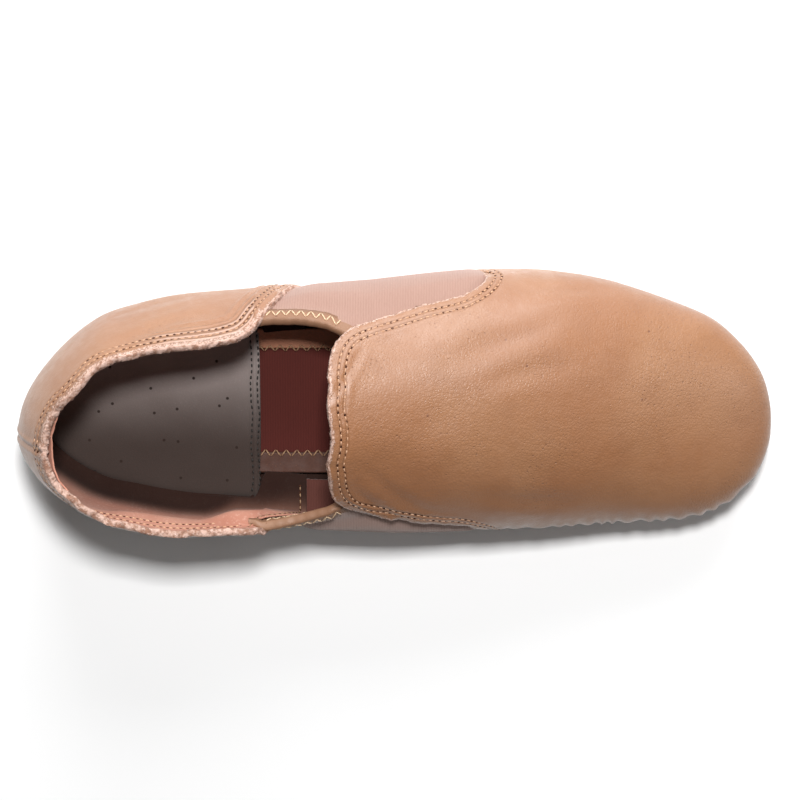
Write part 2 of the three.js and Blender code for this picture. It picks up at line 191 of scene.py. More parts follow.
def unit(vectors: Array) -> Array:
    """Vectors divided by their lengths."""
    return vectors / np.maximum(np.linalg.norm(vectors, axis=-1, keepdims=True), 1e-12)


@dataclass(frozen=True)
class Last:
    """The last: every point of the shoe's skin from a station and a girth angle."""

    sizes: Sizes = Sizes()

    def column(self, name: str, share: Array) -> Array:
        """Cubic pieces through a column of the section table, with slopes taken from its neighbours.

        Args:
            name: a column of the table.
            share: places along the shoe as shares of its length.

        Returns:
            The column's values there.
        """
        table = np.array(SECTIONS)
        xs, ys = table[:, 0], table[:, COLUMNS.index(name)]
        slope = np.empty(len(xs))
        slope[1:-1] = (ys[2:] - ys[:-2]) / (xs[2:] - xs[:-2])
        slope[0], slope[-1] = (ys[1] - ys[0]) / (xs[1] - xs[0]), (ys[-1] - ys[-2]) / (xs[-1] - xs[-2])
        share = np.clip(share, 0, 1)
        i = np.clip(np.searchsorted(xs, share) - 1, 0, len(xs) - 2)
        span = xs[i + 1] - xs[i]
        t = (share - xs[i]) / span
        return (
            (2 * t**3 - 3 * t**2 + 1) * ys[i]
            + (t**3 - 2 * t**2 + t) * span * slope[i]
            + (3 * t**2 - 2 * t**3) * ys[i + 1]
            + (t**3 - t**2) * span * slope[i + 1]
        )

    def seat(self, x: Array) -> Array:
        """Height of the last's underside along its middle."""
        s, share = self.sizes, np.asarray(x, float) / self.sizes.length
        lift = (s.heel_seat - s.ball_seat) * self.column("rise", share)
        return s.ball_seat + lift + s.toe_spring * self.column("spring", share)

    def opened(self, x: Array, heel_power: float, toe_power: float) -> Array:
        """How far the last has opened at x: 0 at the tips, 1 between the caps."""
        s = self.sizes
        toe = np.clip((x - s.length + s.toe_cap) / s.toe_cap, 0, 1)
        heel = np.clip((s.heel_cap - x) / s.heel_cap, 0, 1)
        toe_open = np.maximum(1 - toe**toe_power, 0) ** (1 / toe_power)
        return toe_open * np.maximum(1 - heel**heel_power, 0) ** (1 / heel_power)

    def section(self, x: Array) -> dict[str, Array]:
        """Measures of the last's section at each station."""
        s, x = self.sizes, np.asarray(x, float)
        share, low = x / s.length, self.seat(x)
        full = self.opened(x, s.heel_squareness, s.toe_squareness)
        wide = low + s.instep_height * self.column("wide", share)
        keel_open = self.opened(x, s.underside_squareness, s.underside_squareness)
        return {
            "centre": s.ball_width * self.column("centre", share),
            "lateral": s.ball_width * self.column("lateral", share) * full,
            "medial": s.ball_width * self.column("medial", share) * full,
            "wide": wide,
            "over": (low + s.instep_height * self.column("top", share) - wide) * full,
            "under": (wide - low) * keel_open,
            "outer": self.column("outer", share),
            "inner": self.column("inner", share),
            "keel": self.column("keel", share),
            "lean": s.ball_width * self.column("lean", share),
            "slant": s.length * self.column("slant", share) * full**2,
        }

    def point(self, x: Array, a: Array) -> Array:
        """The skin at station x and girth angle a: 0 at the lateral side, a quarter turn at the top.

        The section is a superellipse with its own exponent in each quarter. Its height grows over the widest
        line, its middle leans with the height, and the heel slants forward with the height squared.
        """
        s = self.section(x)
        side, up = np.cos(a), np.sin(a)
        power = np.where(up > 0, np.where(side > 0, s["outer"], s["inner"]), s["keel"])
        reach = (np.abs(side) ** power + np.abs(up) ** power) ** (-1 / power)
        height = np.maximum(up * reach, 0)
        half = np.where(side > 0, s["lateral"], s["medial"])
        y = s["centre"] + half * side * reach + s["lean"] * height**LEAN_POWER
        z = s["wide"] + np.where(up > 0, s["over"], s["under"]) * up * reach
        return np.stack(np.broadcast_arrays(x + s["slant"] * height**2, y, z), -1)

    def normal(self, x: Array, a: Array) -> Array:
        """The skin's outward normal, across the girth and the length by small steps."""
        step = 0.02
        inside = np.clip(x, 3 * step, self.sizes.length - 3 * step)
        along = self.point(inside + step, a) - self.point(inside - step, a)
        turn = 1e-3
        across = self.point(inside, a + turn) - self.point(inside, a - turn)
        return unit(np.cross(across, along))

    def beneath(self, x: Array, a: Array, depth: Array | float) -> Array:
        """Points at a depth under the skin."""
        return self.point(x, a) - np.asarray(depth)[..., None] * self.normal(x, a)

    def on_side(self, x: Array, z: Array, side: Side) -> tuple[Array, Array]:
        """The station and girth angle of the skin at a place of the side view.

        The height over the widest line gives the place on the superellipse, and the slant is taken off the
        station until both agree.
        """
        station = np.array(x, float)
        for _ in range(10):
            s = self.section(station)
            above = z > s["wide"]
            r = np.clip((z - s["wide"]) / np.where(above, s["over"], s["under"]), -0.9999, 0.9999)
            station = x - s["slant"] * np.maximum(r, 0) ** 2
        crown = s["outer"] if side is Side.LATERAL else s["inner"]
        power = np.where(above, crown, s["keel"])
        q = (1 - np.abs(r) ** power) ** (1 / power)
        angle = np.arctan2(r, q)
        return station, angle if side is Side.LATERAL else math.pi - angle

    def underside(self, x: Array, y: Array) -> tuple[Array, Array]:
        """The station and girth angle of the underside at a place of the plan view."""
        s = self.section(x)
        half = np.where(y > s["centre"], s["lateral"], s["medial"])
        q = np.clip((y - s["centre"]) / half, -0.9999, 0.9999)
        r = -((1 - np.abs(q) ** s["keel"]) ** (1 / s["keel"]))
        return np.broadcast_to(x, q.shape), np.arctan2(r, q)

    def line(self, rows: tuple, height: float, count: int) -> Array:
        """A smooth line in the side view: Catmull-Rom pieces through rows of shares."""
        table = np.array(rows)
        x = table[:, 0] * self.sizes.length
        knots = np.stack([x, self.seat(x) + table[:, 1] * height], -1)
        return catmull(knots, count)


def catmull(knots: Array, count: int) -> Array:
    """Catmull-Rom pieces through knots, with count steps each."""
    padded = np.concatenate([knots[:1], knots, knots[-1:]])
    t = np.linspace(0, 1, count, endpoint=False)[None, :, None]
    p0, p1, p2, p3 = (padded[k : len(padded) - 3 + k, None, :] for k in range(4))
    v0, v1 = (p2 - p0) / 2, (p3 - p1) / 2
    body = (2 * p1 - 2 * p2 + v0 + v1) * t**3 + (-3 * p1 + 3 * p2 - 2 * v0 - v1) * t**2 + v0 * t + p1
    return np.concatenate([body.reshape(-1, knots.shape[1]), knots[-1:]])


def run_length(points: Array) -> Array:
    """Distance travelled along a row of points."""
    steps = np.linalg.norm(np.diff(points, axis=0), axis=1)
    return np.concatenate([[0], np.cumsum(steps)])


def resample(points: Array, extras: list, pitch: float) -> tuple[Array, list[Array]]:
    """A row of points, and values that go with it, again at an even pitch."""
    run = run_length(points)
    even = np.linspace(0, run[-1], max(int(round(run[-1] / pitch)), 2) + 1)
    new = np.stack([np.interp(even, run, points[:, k]) for k in range(points.shape[1])], -1)
    return new, [np.interp(even, run, e) for e in extras]


def waves(run: Array, seed: int, length: float, count: int = 5) -> Array:
    """A hand-cut edge's small wander: a few sines of unlike lengths and phases, about 1 high."""
    draw = np.random.default_rng(seed)
    lengths = length * draw.uniform(0.45, 1.8, count)
    phases = draw.uniform(0, TURN, count)
    return np.sin(TURN * run[..., None] / lengths + phases).sum(-1) / math.sqrt(count)


@dataclass
class Cut:
    """A closed line on the skin that bounds an opening."""

    last: Last
    station: Array
    angle: Array
    centre: float
    points: Array = field(init=False)
    run: Array = field(init=False)

    def __post_init__(self) -> None:
        """Works out the line's points and the distance run along it."""
        self.points = self.last.point(self.station, self.angle)
        self.run = run_length(self.points)

    def wrap(self, a: Array) -> Array:
        """Angles within half a turn of the opening's middle."""
        return self.centre + (a - self.centre + math.pi) % TURN - math.pi

    def holds(self, stations: Array, angles: Array) -> Array:
        """Which points of a grid are inside the line: an odd count of crossings below them on their ring.

        Args:
            stations: the grid's stations.
            angles: the grid's girth angles.

        Returns:
            A table of truth values, a row for each station.
        """
        s0, a0 = self.station, self.angle
        s1, a1 = np.roll(s0, -1), np.roll(a0, -1)
        st = stations[:, None]
        crossing = (s0 <= st) != (s1 <= st)
        share = (st - s0) / np.where(s1 == s0, 1, s1 - s0)
        at = np.where(crossing, a0 + share * (a1 - a0), np.inf)
        at = np.sort(at, axis=1)[:, :10]
        below = (at[:, :, None] < self.wrap(angles)[None, None, :]).sum(1)
        return below % 2 == 1

    def nearest(self, points: Array) -> tuple[Array, Array]:
        """The nearest point of the line to each point given, and how far it is."""
        found, far = np.empty(len(points), int), np.empty(len(points))
        size = (self.points**2).sum(1)
        for start in range(0, len(points), 4096):
            part = points[start : start + 4096]
            square = (part**2).sum(1)[:, None] - 2 * part @ self.points.T + size
            k = square.argmin(1)
            found[start : start + 4096] = k
            far[start : start + 4096] = np.sqrt(np.maximum(square[np.arange(len(part)), k], 0))
        return found, far


def even_loop(last: Last, station: Array, angle: Array, pitch: float, ease: float) -> tuple:
    """A closed line at an even pitch, with its corners eased by a running mean."""
    points = last.point(station, angle)
    _, (station, angle) = resample(points, [station, angle], pitch)
    station, angle = station[:-1], angle[:-1]
    reach = max(int(round(ease / pitch)), 1)
    kernel = np.hanning(2 * reach + 3)[1:-1]
    kernel /= kernel.sum()

    def eased(values: Array) -> Array:
        """A running mean round the closed line."""
        long = np.concatenate([values[-reach:], values, values[:reach]])
        return np.convolve(long, kernel, mode="valid")

    return eased(station), eased(angle)


def collar_cut(last: Last) -> Cut:
    """The opening at the collar, throat and gore windows, as one line round both sides.

    From the heel's middle the topline runs forward, drops down the quarter's front, follows the window's
    base, turns back along the wing and crosses the tongue.
    """
    s = last.sizes
    top = last.line(TOPLINE, s.quarter_height, 24)
    joint, first_station, last_station = 26.0, 0.2, 45.0
    angles = np.linspace(TOP, 0.9, 60)
    low, high = np.full_like(angles, first_station), np.full_like(angles, last_station)
    sides = []
    for side in Side:
        turned = angles if side is Side.LATERAL else math.pi - angles
        a, b = low.copy(), high.copy()
        for _ in range(40):
            mid = (a + b) / 2
            p = last.point(mid, turned)
            under = p[:, 2] < np.interp(p[:, 0], top[:, 0], top[:, 1])
            a, b = np.where(under, mid, a), np.where(under, b, mid)
        back = last.point(a, turned)
        keep = back[:, 0] < joint
        back_station, back_angle = a[keep], turned[keep]
        rows = [top[top[:, 0] > joint + 1]]
        rows += [last.line(t, s.instep_height, 16) for t in (QUARTER_FRONT, WINDOW_BASE, WING)]
        path = np.concatenate(rows)
        station, angle = last.on_side(path[:, 0], path[:, 1], side)
        sides.append((np.concatenate([back_station, station]), np.concatenate([back_angle, angle])))
    (s0, a0), (s1, a1) = sides
    across = np.linspace(0, 1, 80)[1:-1]
    knots = catmull(np.array(TONGUE_EDGE), 12)
    step = np.interp(across, knots[:, 0], knots[:, 1])
    tongue_station = s0[-1] + (s1[-1] - s0[-1]) * across + step
    tongue_angle = a0[-1] + (a1[-1] - a0[-1]) * across
    station = np.concatenate([s0, tongue_station, s1[::-1], s0[:1]])
    angle = np.concatenate([a0, tongue_angle, a1[::-1], a0[:1]])
    station, angle = even_loop(last, station, angle, 0.3, 1.5)
    return Cut(last, station, angle, TOP)


def arch_cut(last: Last) -> Cut:
    """The opening under the arch: a rectangle in the plan with round corners."""
    s = last.sizes
    middle = (s.arch_start + s.arch_end) / 2
    centre = float(last.section(np.array(middle))["centre"])
    t = np.linspace(0, TURN, 400, endpoint=False)
    half_x, half_y = (s.arch_end - s.arch_start) / 2, s.arch_half_width
    corner = s.arch_corner
    c, u = np.cos(t), np.sin(t)
    arm_x, arm_y = half_x - corner, half_y - corner
    scale = 1 / np.maximum(np.abs(c) / half_x, np.abs(u) / half_y)
    x, y = c * scale, u * scale
    inner_x, inner_y = np.clip(x, -arm_x, arm_x), np.clip(y, -arm_y, arm_y)
    out = np.stack([x - inner_x, y - inner_y], -1)
    out = np.where(np.abs(out).max(1, keepdims=True) > 0, unit(out) * corner, out)
    x, y = inner_x + out[:, 0], inner_y + out[:, 1]
    station, angle = last.underside(middle + x, centre + y)
    station = np.append(station, station[0])
    angle = np.append(angle, angle[0]) % TURN
    station, angle = even_loop(last, station, angle, 0.4, 0.6)
    return Cut(last, station, angle, BOTTOM)


@dataclass
class Patch:
    """A surface as arrays: vertices, four-sided and three-sided faces, and values at the vertices."""

    verts: Array
    quads: Array = field(default_factory=lambda: np.zeros((0, 4), int))
    tris: Array = field(default_factory=lambda: np.zeros((0, 3), int))
    quad_slots: Array | None = None
    tri_slots: Array | None = None
    values: dict[str, Array] = field(default_factory=dict)

    def __post_init__(self) -> None:
        """Gives every face the first material where none is named."""
        if self.quad_slots is None:
            self.quad_slots = np.zeros(len(self.quads), int)
        if self.tri_slots is None:
            self.tri_slots = np.zeros(len(self.tris), int)

    def joined(self, other: Patch) -> Patch:
        """This patch and another as one, without values: only threads and holes are joined."""
        shift = len(self.verts)
        return Patch(
            np.concatenate([self.verts, other.verts]),
            np.concatenate([self.quads, other.quads + shift]),
            np.concatenate([self.tris, other.tris + shift]),
            np.concatenate([self.quad_slots, other.quad_slots]),
            np.concatenate([self.tri_slots, other.tri_slots]),
        )

    def coloured(self, slot: int) -> Patch:
        """The patch with every face in one material slot."""
        quad_slots, tri_slots = np.full(len(self.quads), slot), np.full(len(self.tris), slot)
        return Patch(self.verts, self.quads, self.tris, quad_slots, tri_slots, self.values)

    def welded(self, reach: float = 1e-3) -> Patch:
        """The patch with vertices that coincide made one, and faces that close up dropped.

        Positions are rounded to the reach and made unique. A quad that has two neighbouring corners alike
        becomes a triangle, and a face with fewer corners goes.
        """
        key = np.round(self.verts / reach).astype(np.int64)
        _, first, back = np.unique(key, axis=0, return_index=True, return_inverse=True)
        back = back.reshape(-1)
        quads, slots = back[self.quads], self.quad_slots
        same = quads == np.roll(quads, -1, axis=1)
        whole = ~same.any(1) & (quads[:, 0] != quads[:, 2]) & (quads[:, 1] != quads[:, 3])
        extra, extra_slots = [], []
        for k in range(4):
            lone = same[:, k] & (same.sum(1) == 1)
            extra.append(quads[lone][:, [(k + 1) % 4, (k + 2) % 4, (k + 3) % 4]])
            extra_slots.append(slots[lone])
        tris = np.concatenate([back[self.tris], *extra])
        tri_slots = np.concatenate([self.tri_slots, *extra_slots])
        good = (tris[:, 0] != tris[:, 1]) & (tris[:, 1] != tris[:, 2]) & (tris[:, 0] != tris[:, 2])
        values = {n: v[first] for n, v in self.values.items()}
        return Patch(self.verts[first], quads[whole], tris[good], slots[whole], tri_slots[good], values)

    def trimmed(self) -> Patch:
        """The patch without vertices that no face uses."""
        used = np.unique(np.concatenate([self.quads.reshape(-1), self.tris.reshape(-1)]))
        place = np.full(len(self.verts), -1)
        place[used] = np.arange(len(used))
        values = {n: v[used] for n, v in self.values.items()}
        quads, tris = place[self.quads], place[self.tris]
        return Patch(self.verts[used], quads, tris, self.quad_slots, self.tri_slots, values)

    def edges(self) -> Array:
        """Every face's edges in turn, as pairs of vertices."""
        q = np.stack([self.quads, np.roll(self.quads, -1, axis=1)], -1).reshape(-1, 2)
        t = np.stack([self.tris, np.roll(self.tris, -1, axis=1)], -1).reshape(-1, 2)
        return np.concatenate([q, t])

    def border(self) -> Array:
        """The edges that only one face has, in that face's direction."""
        edges = self.edges()
        key = np.sort(edges, axis=1)
        _, place, count = np.unique(key, axis=0, return_inverse=True, return_counts=True)
        return edges[count[place.reshape(-1)] == 1]


def grid_faces(rows: int, columns: int, closed: bool = False) -> Array:
    """Quads of a grid of rows and columns, closed round its columns if asked."""
    i = np.arange(rows - 1)[:, None] * columns
    j = np.arange(columns if closed else columns - 1)[None, :]
    k = (j + 1) % columns
    corners = np.broadcast_arrays(i + j, i + k, i + columns + k, i + columns + j)
    return np.stack(corners, -1).reshape(-1, 4)


def shell(
    patch: Patch,
    inner: Array,
    rim_slot: int,
    inner_slot: int,
    roundness: float = 0.5,
    steps: int = 3,
    fray: float = 0.0,
) -> Patch:
    """A sheet with a thickness: the patch, the same surface at its inner points, and a round rim.

    Round the border, rows of points swing from the outer to the inner edge on half an ellipse whose depth is
    the sheet's thickness and whose reach is a share of it.

    Args:
        patch: the outer surface.
        inner: the inner surface's points, one for each vertex of the patch.
        rim_slot: the material of the rim.
        inner_slot: the material of the inner surface.
        roundness: how far the rim bulges, as a share of the thickness.
        steps: how many rows the rim has.
        fray: how far the rim's points stray, at random.

    Returns:
        The closed sheet.
    """
    count = len(patch.verts)
    border = patch.border()
    quads, tris = patch.quads, patch.tris
    span = inner - patch.verts
    along = patch.verts[border[:, 1]] - patch.verts[border[:, 0]]
    outward = unit(np.cross(along, -span[border[:, 0]]))
    push = np.zeros_like(patch.verts)
    np.add.at(push, border[:, 0], outward)
    np.add.at(push, border[:, 1], outward)
    rim, where = np.unique(border.reshape(-1), return_inverse=True)
    where = where.reshape(border.shape)
    push = unit(push[rim])
    depth = np.linalg.norm(span[rim], axis=1, keepdims=True)
    draw = np.random.default_rng(11)
    rows = []
    for k in range(1, steps + 1):
        swing = math.pi * k / (steps + 1)
        share = (1 - math.cos(swing)) / 2
        stray = fray * draw.normal(0, 1, (len(rim), 2))
        out = depth * roundness * math.sin(swing) + stray[:, :1]
        rows.append(patch.verts[rim] + span[rim] * (share + 0.3 * stray[:, 1:]) + push * out)
    levels = [rim] + [2 * count + k * len(rim) + np.arange(len(rim)) for k in range(steps)] + [count + rim]
    walls = []
    for low, high in zip(levels[:-1], levels[1:]):
        walls.append(np.stack([low[where[:, 1]], low[where[:, 0]], high[where[:, 0]], high[where[:, 1]]], -1))
    wall = np.concatenate(walls)
    values = {n: np.concatenate([v, v, *([v[rim]] * steps)]) for n, v in patch.values.items()}
    return Patch(
        np.concatenate([patch.verts, inner, *rows]),
        np.concatenate([quads, quads[:, ::-1] + count, wall]),
        np.concatenate([tris, tris[:, ::-1] + count]),
        np.concatenate([patch.quad_slots, np.full(len(quads), inner_slot), np.full(len(wall), rim_slot)]),
        np.concatenate([patch.tri_slots, np.full(len(tris), inner_slot)]),
        values,
    )


def sheet(outer: Array, inner: Array, flip: bool, roundness: float, slot: int = 0) -> Patch:
    """A closed sheet over two grids of points, its faces turned if asked, with a slot for inside and rim."""
    quads = grid_faces(*outer.shape[:2])
    if flip:
        quads = quads[:, ::-1]
    return shell(Patch(outer.reshape(-1, 3), quads), inner.reshape(-1, 3), slot, slot, roundness)


@dataclass(frozen=True)
class Place:
    """Where the last's frame lies in the row's frame."""

    shift: Array

    @staticmethod
    def of(last: Last) -> Place:
        """The shift that puts the middle of the last over the origin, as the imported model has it."""
        stations, angles = np.linspace(0, last.sizes.length, 400), np.linspace(0, TURN, 361)
        points = last.point(stations[:, None], angles[None, :]).reshape(-1, 3)
        low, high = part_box("upper")
        middle = (np.array(low)[:2] + np.array(high)[:2]) / 2 / MM
        own = (points.min(0)[:2] + points.max(0)[:2]) / 2
        return Place(np.append(middle - own, 0.0))

    def metres(self, points: Array) -> Array:
        """Points of the last in the row's frame."""
        return (points + self.shift) * MM


def make_mesh(name: str, patch: Patch, place: Place, materials: list) -> Object:
    """A Blender object from a patch, with its materials and its values as vertex attributes."""
    mesh = bpy.data.meshes.new(name)
    verts = place.metres(patch.verts)
    loops = np.concatenate([patch.quads.reshape(-1), patch.tris.reshape(-1)])
    totals = np.concatenate([np.full(len(patch.quads), 4), np.full(len(patch.tris), 3)])
    starts = np.concatenate([[0], np.cumsum(totals)[:-1]])
    mesh.vertices.add(len(verts))
    mesh.vertices.foreach_set("co", verts.astype(np.float32).reshape(-1))
    mesh.loops.add(len(loops))
    mesh.loops.foreach_set("vertex_index", loops.astype(np.int32))
    mesh.polygons.add(len(totals))
    mesh.polygons.foreach_set("loop_start", starts.astype(np.int32))
    mesh.polygons.foreach_set("loop_total", totals.astype(np.int32))
    slots = np.concatenate([patch.quad_slots, patch.tri_slots])
    mesh.polygons.foreach_set("material_index", slots.astype(np.int32))
    mesh.update(calc_edges=True)
    mesh.validate()
    mesh.polygons.foreach_set("use_smooth", np.full(len(mesh.polygons), True))
    for key, values in patch.values.items():
        if len(values) == len(mesh.vertices):
            layer = mesh.attributes.new(key, "FLOAT", "POINT")
            layer.data.foreach_set("value", values.astype(np.float32))
    for material in materials:
        mesh.materials.append(material)
    obj = bpy.data.objects.new(name, mesh)
    bpy.context.scene.collection.objects.link(obj)
    LOG.info("%s: %d vertices, %d faces", name, len(mesh.vertices), len(mesh.polygons))
    return obj


def attach(obj: Object, slot: str, *nodes: str) -> Object:
    """Rides a finished piece on the shoe and hides the nodes that it stands for."""
    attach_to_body(obj, "root")
    if nodes:
        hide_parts(*nodes)
    return obj


class Socket:
    """A shader socket that takes part in Python expressions; each adds a Math node."""

    def __init__(self, graph: Graph, socket: bpy.types.NodeSocket) -> None:
        """Wraps a socket of a graph."""
        self.graph = graph
        self.socket = socket

    def math(self, operation: str, *others: Value, first: Value | None = None) -> Socket:
        """A Math node of this socket and others, or of a first value and them."""
        values = [first if first is not None else self, *others]
        return self.graph.node("ShaderNodeMath", {"operation": operation}, dict(enumerate(values)))

    def __add__(self, other: Value) -> Socket:
        """Sum."""
        return self.math("ADD", other)

    __radd__ = __add__

    def __sub__(self, other: Value) -> Socket:
        """Difference."""
        return self.math("SUBTRACT", other)

    def __rsub__(self, other: Value) -> Socket:
        """Difference from a value."""
        return self.math("SUBTRACT", self, first=other)

    def __mul__(self, other: Value) -> Socket:
        """Product."""
        return self.math("MULTIPLY", other)

    __rmul__ = __mul__

    def ramp(self, low: float, high: float, out_low: float = 0.0, out_high: float = 1.0) -> Socket:
        """Eased from out_low at low to out_high at high, and clamped."""
        settings = {"interpolation_type": "SMOOTHSTEP"}
        values = {0: self, 1: low, 2: high, 3: out_low, 4: out_high}
        return self.graph.node("ShaderNodeMapRange", settings, values)


Value = float | Socket


class Graph:
    """A material's nodes, built by expressions."""

    def __init__(self, name: str) -> None:
        """Starts a material with a Principled shader."""
        self.material = bpy.data.materials.new(name)
        self.material.use_nodes = True
        self.tree = self.material.node_tree
        self.shader = next(n for n in self.tree.nodes if n.type == "BSDF_PRINCIPLED")

    def node(self, kind: str, settings: dict, inputs: dict, output: str | int = 0) -> Socket:
        """Adds a node.

        Args:
            kind: the node's type.
            settings: its properties, set first.
            inputs: values or sockets for its inputs, by index or name.
            output: the output to wrap.

        Returns:
            The wrapped output.
        """
        made = self.tree.nodes.new(kind)
        for key, value in settings.items():
            setattr(made, key, value)
        for key, value in inputs.items():
            self.feed(made.inputs[key], value)
        return Socket(self, made.outputs[output])

    def feed(self, target: bpy.types.NodeSocket, value: Value | tuple) -> None:
        """Links a socket into an input, or sets its value."""
        if isinstance(value, Socket):
            self.tree.links.new(value.socket, target)
        elif isinstance(value, tuple) and len(value) == 3 and target.type == "RGBA":
            target.default_value = (*value, 1.0)
        else:
            target.default_value = value

    def set(self, name: str, value: Value | tuple) -> None:
        """Feeds one of the shader's own inputs."""
        self.feed(self.shader.inputs[name], value)

    def place(self, scale: tuple = (1.0, 1.0, 1.0), turn: tuple = (0.0, 0.0, 0.0)) -> Socket:
        """Object coordinates, scaled and turned."""
        coordinates = self.node("ShaderNodeTexCoord", {}, {}, "Object")
        return self.node("ShaderNodeMapping", {}, {"Vector": coordinates, "Scale": scale, "Rotation": turn})

    def noise(
        self, scale: float, detail: float = 2.0, at: Socket | None = None, rough: float = 0.5
    ) -> Socket:
        """Smooth noise with features of about 1/scale metres."""
        values = {"Vector": at or self.place(), "Scale": scale, "Detail": detail, "Roughness": rough}
        return self.node("ShaderNodeTexNoise", {}, values, "Fac")

    def cells(self, scale: float, feature: str = "F1", at: Socket | None = None) -> Socket:
        """Distances in a pattern of cells."""
        values = {"Vector": at or self.place(), "Scale": scale}
        return self.node("ShaderNodeTexVoronoi", {"feature": feature}, values, "Distance")

    def warped(self, scale: float, amount: float) -> Socket:
        """Object coordinates pushed about by noise, by up to about half the amount in metres."""
        at = self.place()
        push = self.node("ShaderNodeTexNoise", {}, {"Vector": at, "Scale": scale, "Detail": 1.0}, "Color")
        settings = {"operation": "MULTIPLY_ADD"}
        return self.node("ShaderNodeVectorMath", settings, {0: push, 1: (amount, amount, amount), 2: at})

    def value_of(self, name: str) -> Socket:
        """A vertex attribute."""
        return self.node("ShaderNodeAttribute", {"attribute_name": name}, {}, "Fac")

    def mix(self, share: Value, a: Value | tuple, b: Value | tuple) -> Socket:
        """A mix of two colours."""
        return self.node("ShaderNodeMix", {"data_type": "RGBA"}, {0: share, 6: a, 7: b}, 2)

    def bump(self, height: Socket, distance: float, strength: float) -> Socket:
        """A bump from a height."""
        values = {"Height": height, "Distance": distance, "Strength": strength}
        return self.node("ShaderNodeBump", {}, values)


@dataclass(frozen=True)
class Leather:
    """Soft glove leather: pebbles with creases between them, pores, drifting tone and a satin gloss.

    A piece with cut edges also carries values for its distance to them, where it is raw and where it folds.
    """

    name: str
    base: tuple
    dark: tuple
    pale: tuple
    pore: tuple = (0.15, 0.055, 0.026)
    raw: tuple = (0.62, 0.42, 0.34)
    roughness: float = 0.46
    coat: float = 0.55
    grain: float = 0.00024
    pebble: float = 900.0
    layer_pitch: float = 1.9
    edged: bool = False

    def make(self) -> Material:
        """Builds the material."""
        g = Graph(self.name)
        drift = g.noise(22.0, 2.0).ramp(0.35, 0.68)
        tone = g.mix(drift, self.base, self.pale)
        patchy = g.noise(120.0, 3.0).ramp(0.45, 0.75)
        tone = g.mix(patchy * 0.18, tone, self.dark)
        thin = g.noise(40.0, 1.0).ramp(0.28, 0.72)
        creases = 1 - g.cells(self.pebble, "DISTANCE_TO_EDGE", at=g.warped(1100.0, 0.0006)).ramp(0.0, 0.22)
        tone = g.mix(creases * (0.05 + 0.06 * thin), tone, self.pore)
        pores = 1 - g.cells(620.0).ramp(0.06, 0.22)
        tone = g.mix(pores * thin * 0.5, tone, self.pore)
        specks = (1 - g.cells(95.0).ramp(0.03, 0.05)) * 0.8
        tone = g.mix(specks, tone, self.pore)
        wide = g.noise(420.0, 3.0, rough=0.6)
        wrinkle = g.noise(190.0, 3.0, at=g.place((1.0, 0.45, 0.7)), rough=0.6) * thin
        height = wide * 0.6 + wrinkle * 0.8 - creases * (0.14 + 0.12 * thin) - pores * thin * 0.6
        if self.edged:
            # Painted shade: the leather turns a little darker in the crease troughs
            tone = g.mix(g.value_of("fold").ramp(0.1, 0.9) * 0.10, tone, self.dark)
            fibre = g.noise(1500.0, 3.0, rough=0.7)
            frayed = (g.value_of("raw") + (g.noise(900.0, 2.0) - 0.5) * 1.1).ramp(0.35, 0.62)
            tone = g.mix(frayed, tone, g.mix(fibre.ramp(0.35, 0.65), self.dark, self.raw))
            layered = self.layers(g)
            tone = g.mix(layered.ramp(0.45, 1.0) * 0.5, tone, self.raw)
            height = height + layered * 2.6 - self.sewing(g) + frayed * fibre * 1.6
        g.set("Base Color", tone)
        g.set("Roughness", g.noise(300.0, 2.0).ramp(0.3, 0.7, self.roughness - 0.06, self.roughness + 0.08))
        g.set("Coat Weight", self.coat)
        g.set("Coat Roughness", 0.38)
        g.set("Specular IOR Level", 0.5)
        g.set("Normal", g.bump(height, self.grain, 0.9))
        return g.material

    def sewing(self, g: Graph) -> Socket:
        """Depth of the grooves under the two seam rows."""
        edge = g.value_of("edge")
        first, second = (1 - (edge - row).math("ABSOLUTE").ramp(0.15, 0.7) for row in SEAM_ROWS)
        return (first + second) * 1.1

    def layers(self, g: Graph) -> Socket:
        """Height of the folded layers that run along the topline's outer side, from 0 to 1."""
        wave = (g.value_of("edge") * (TURN / self.layer_pitch) + g.noise(110.0, 2.0) * 4.0).math("SINE")
        return (wave * 0.5 + 0.5) * g.value_of("layers")


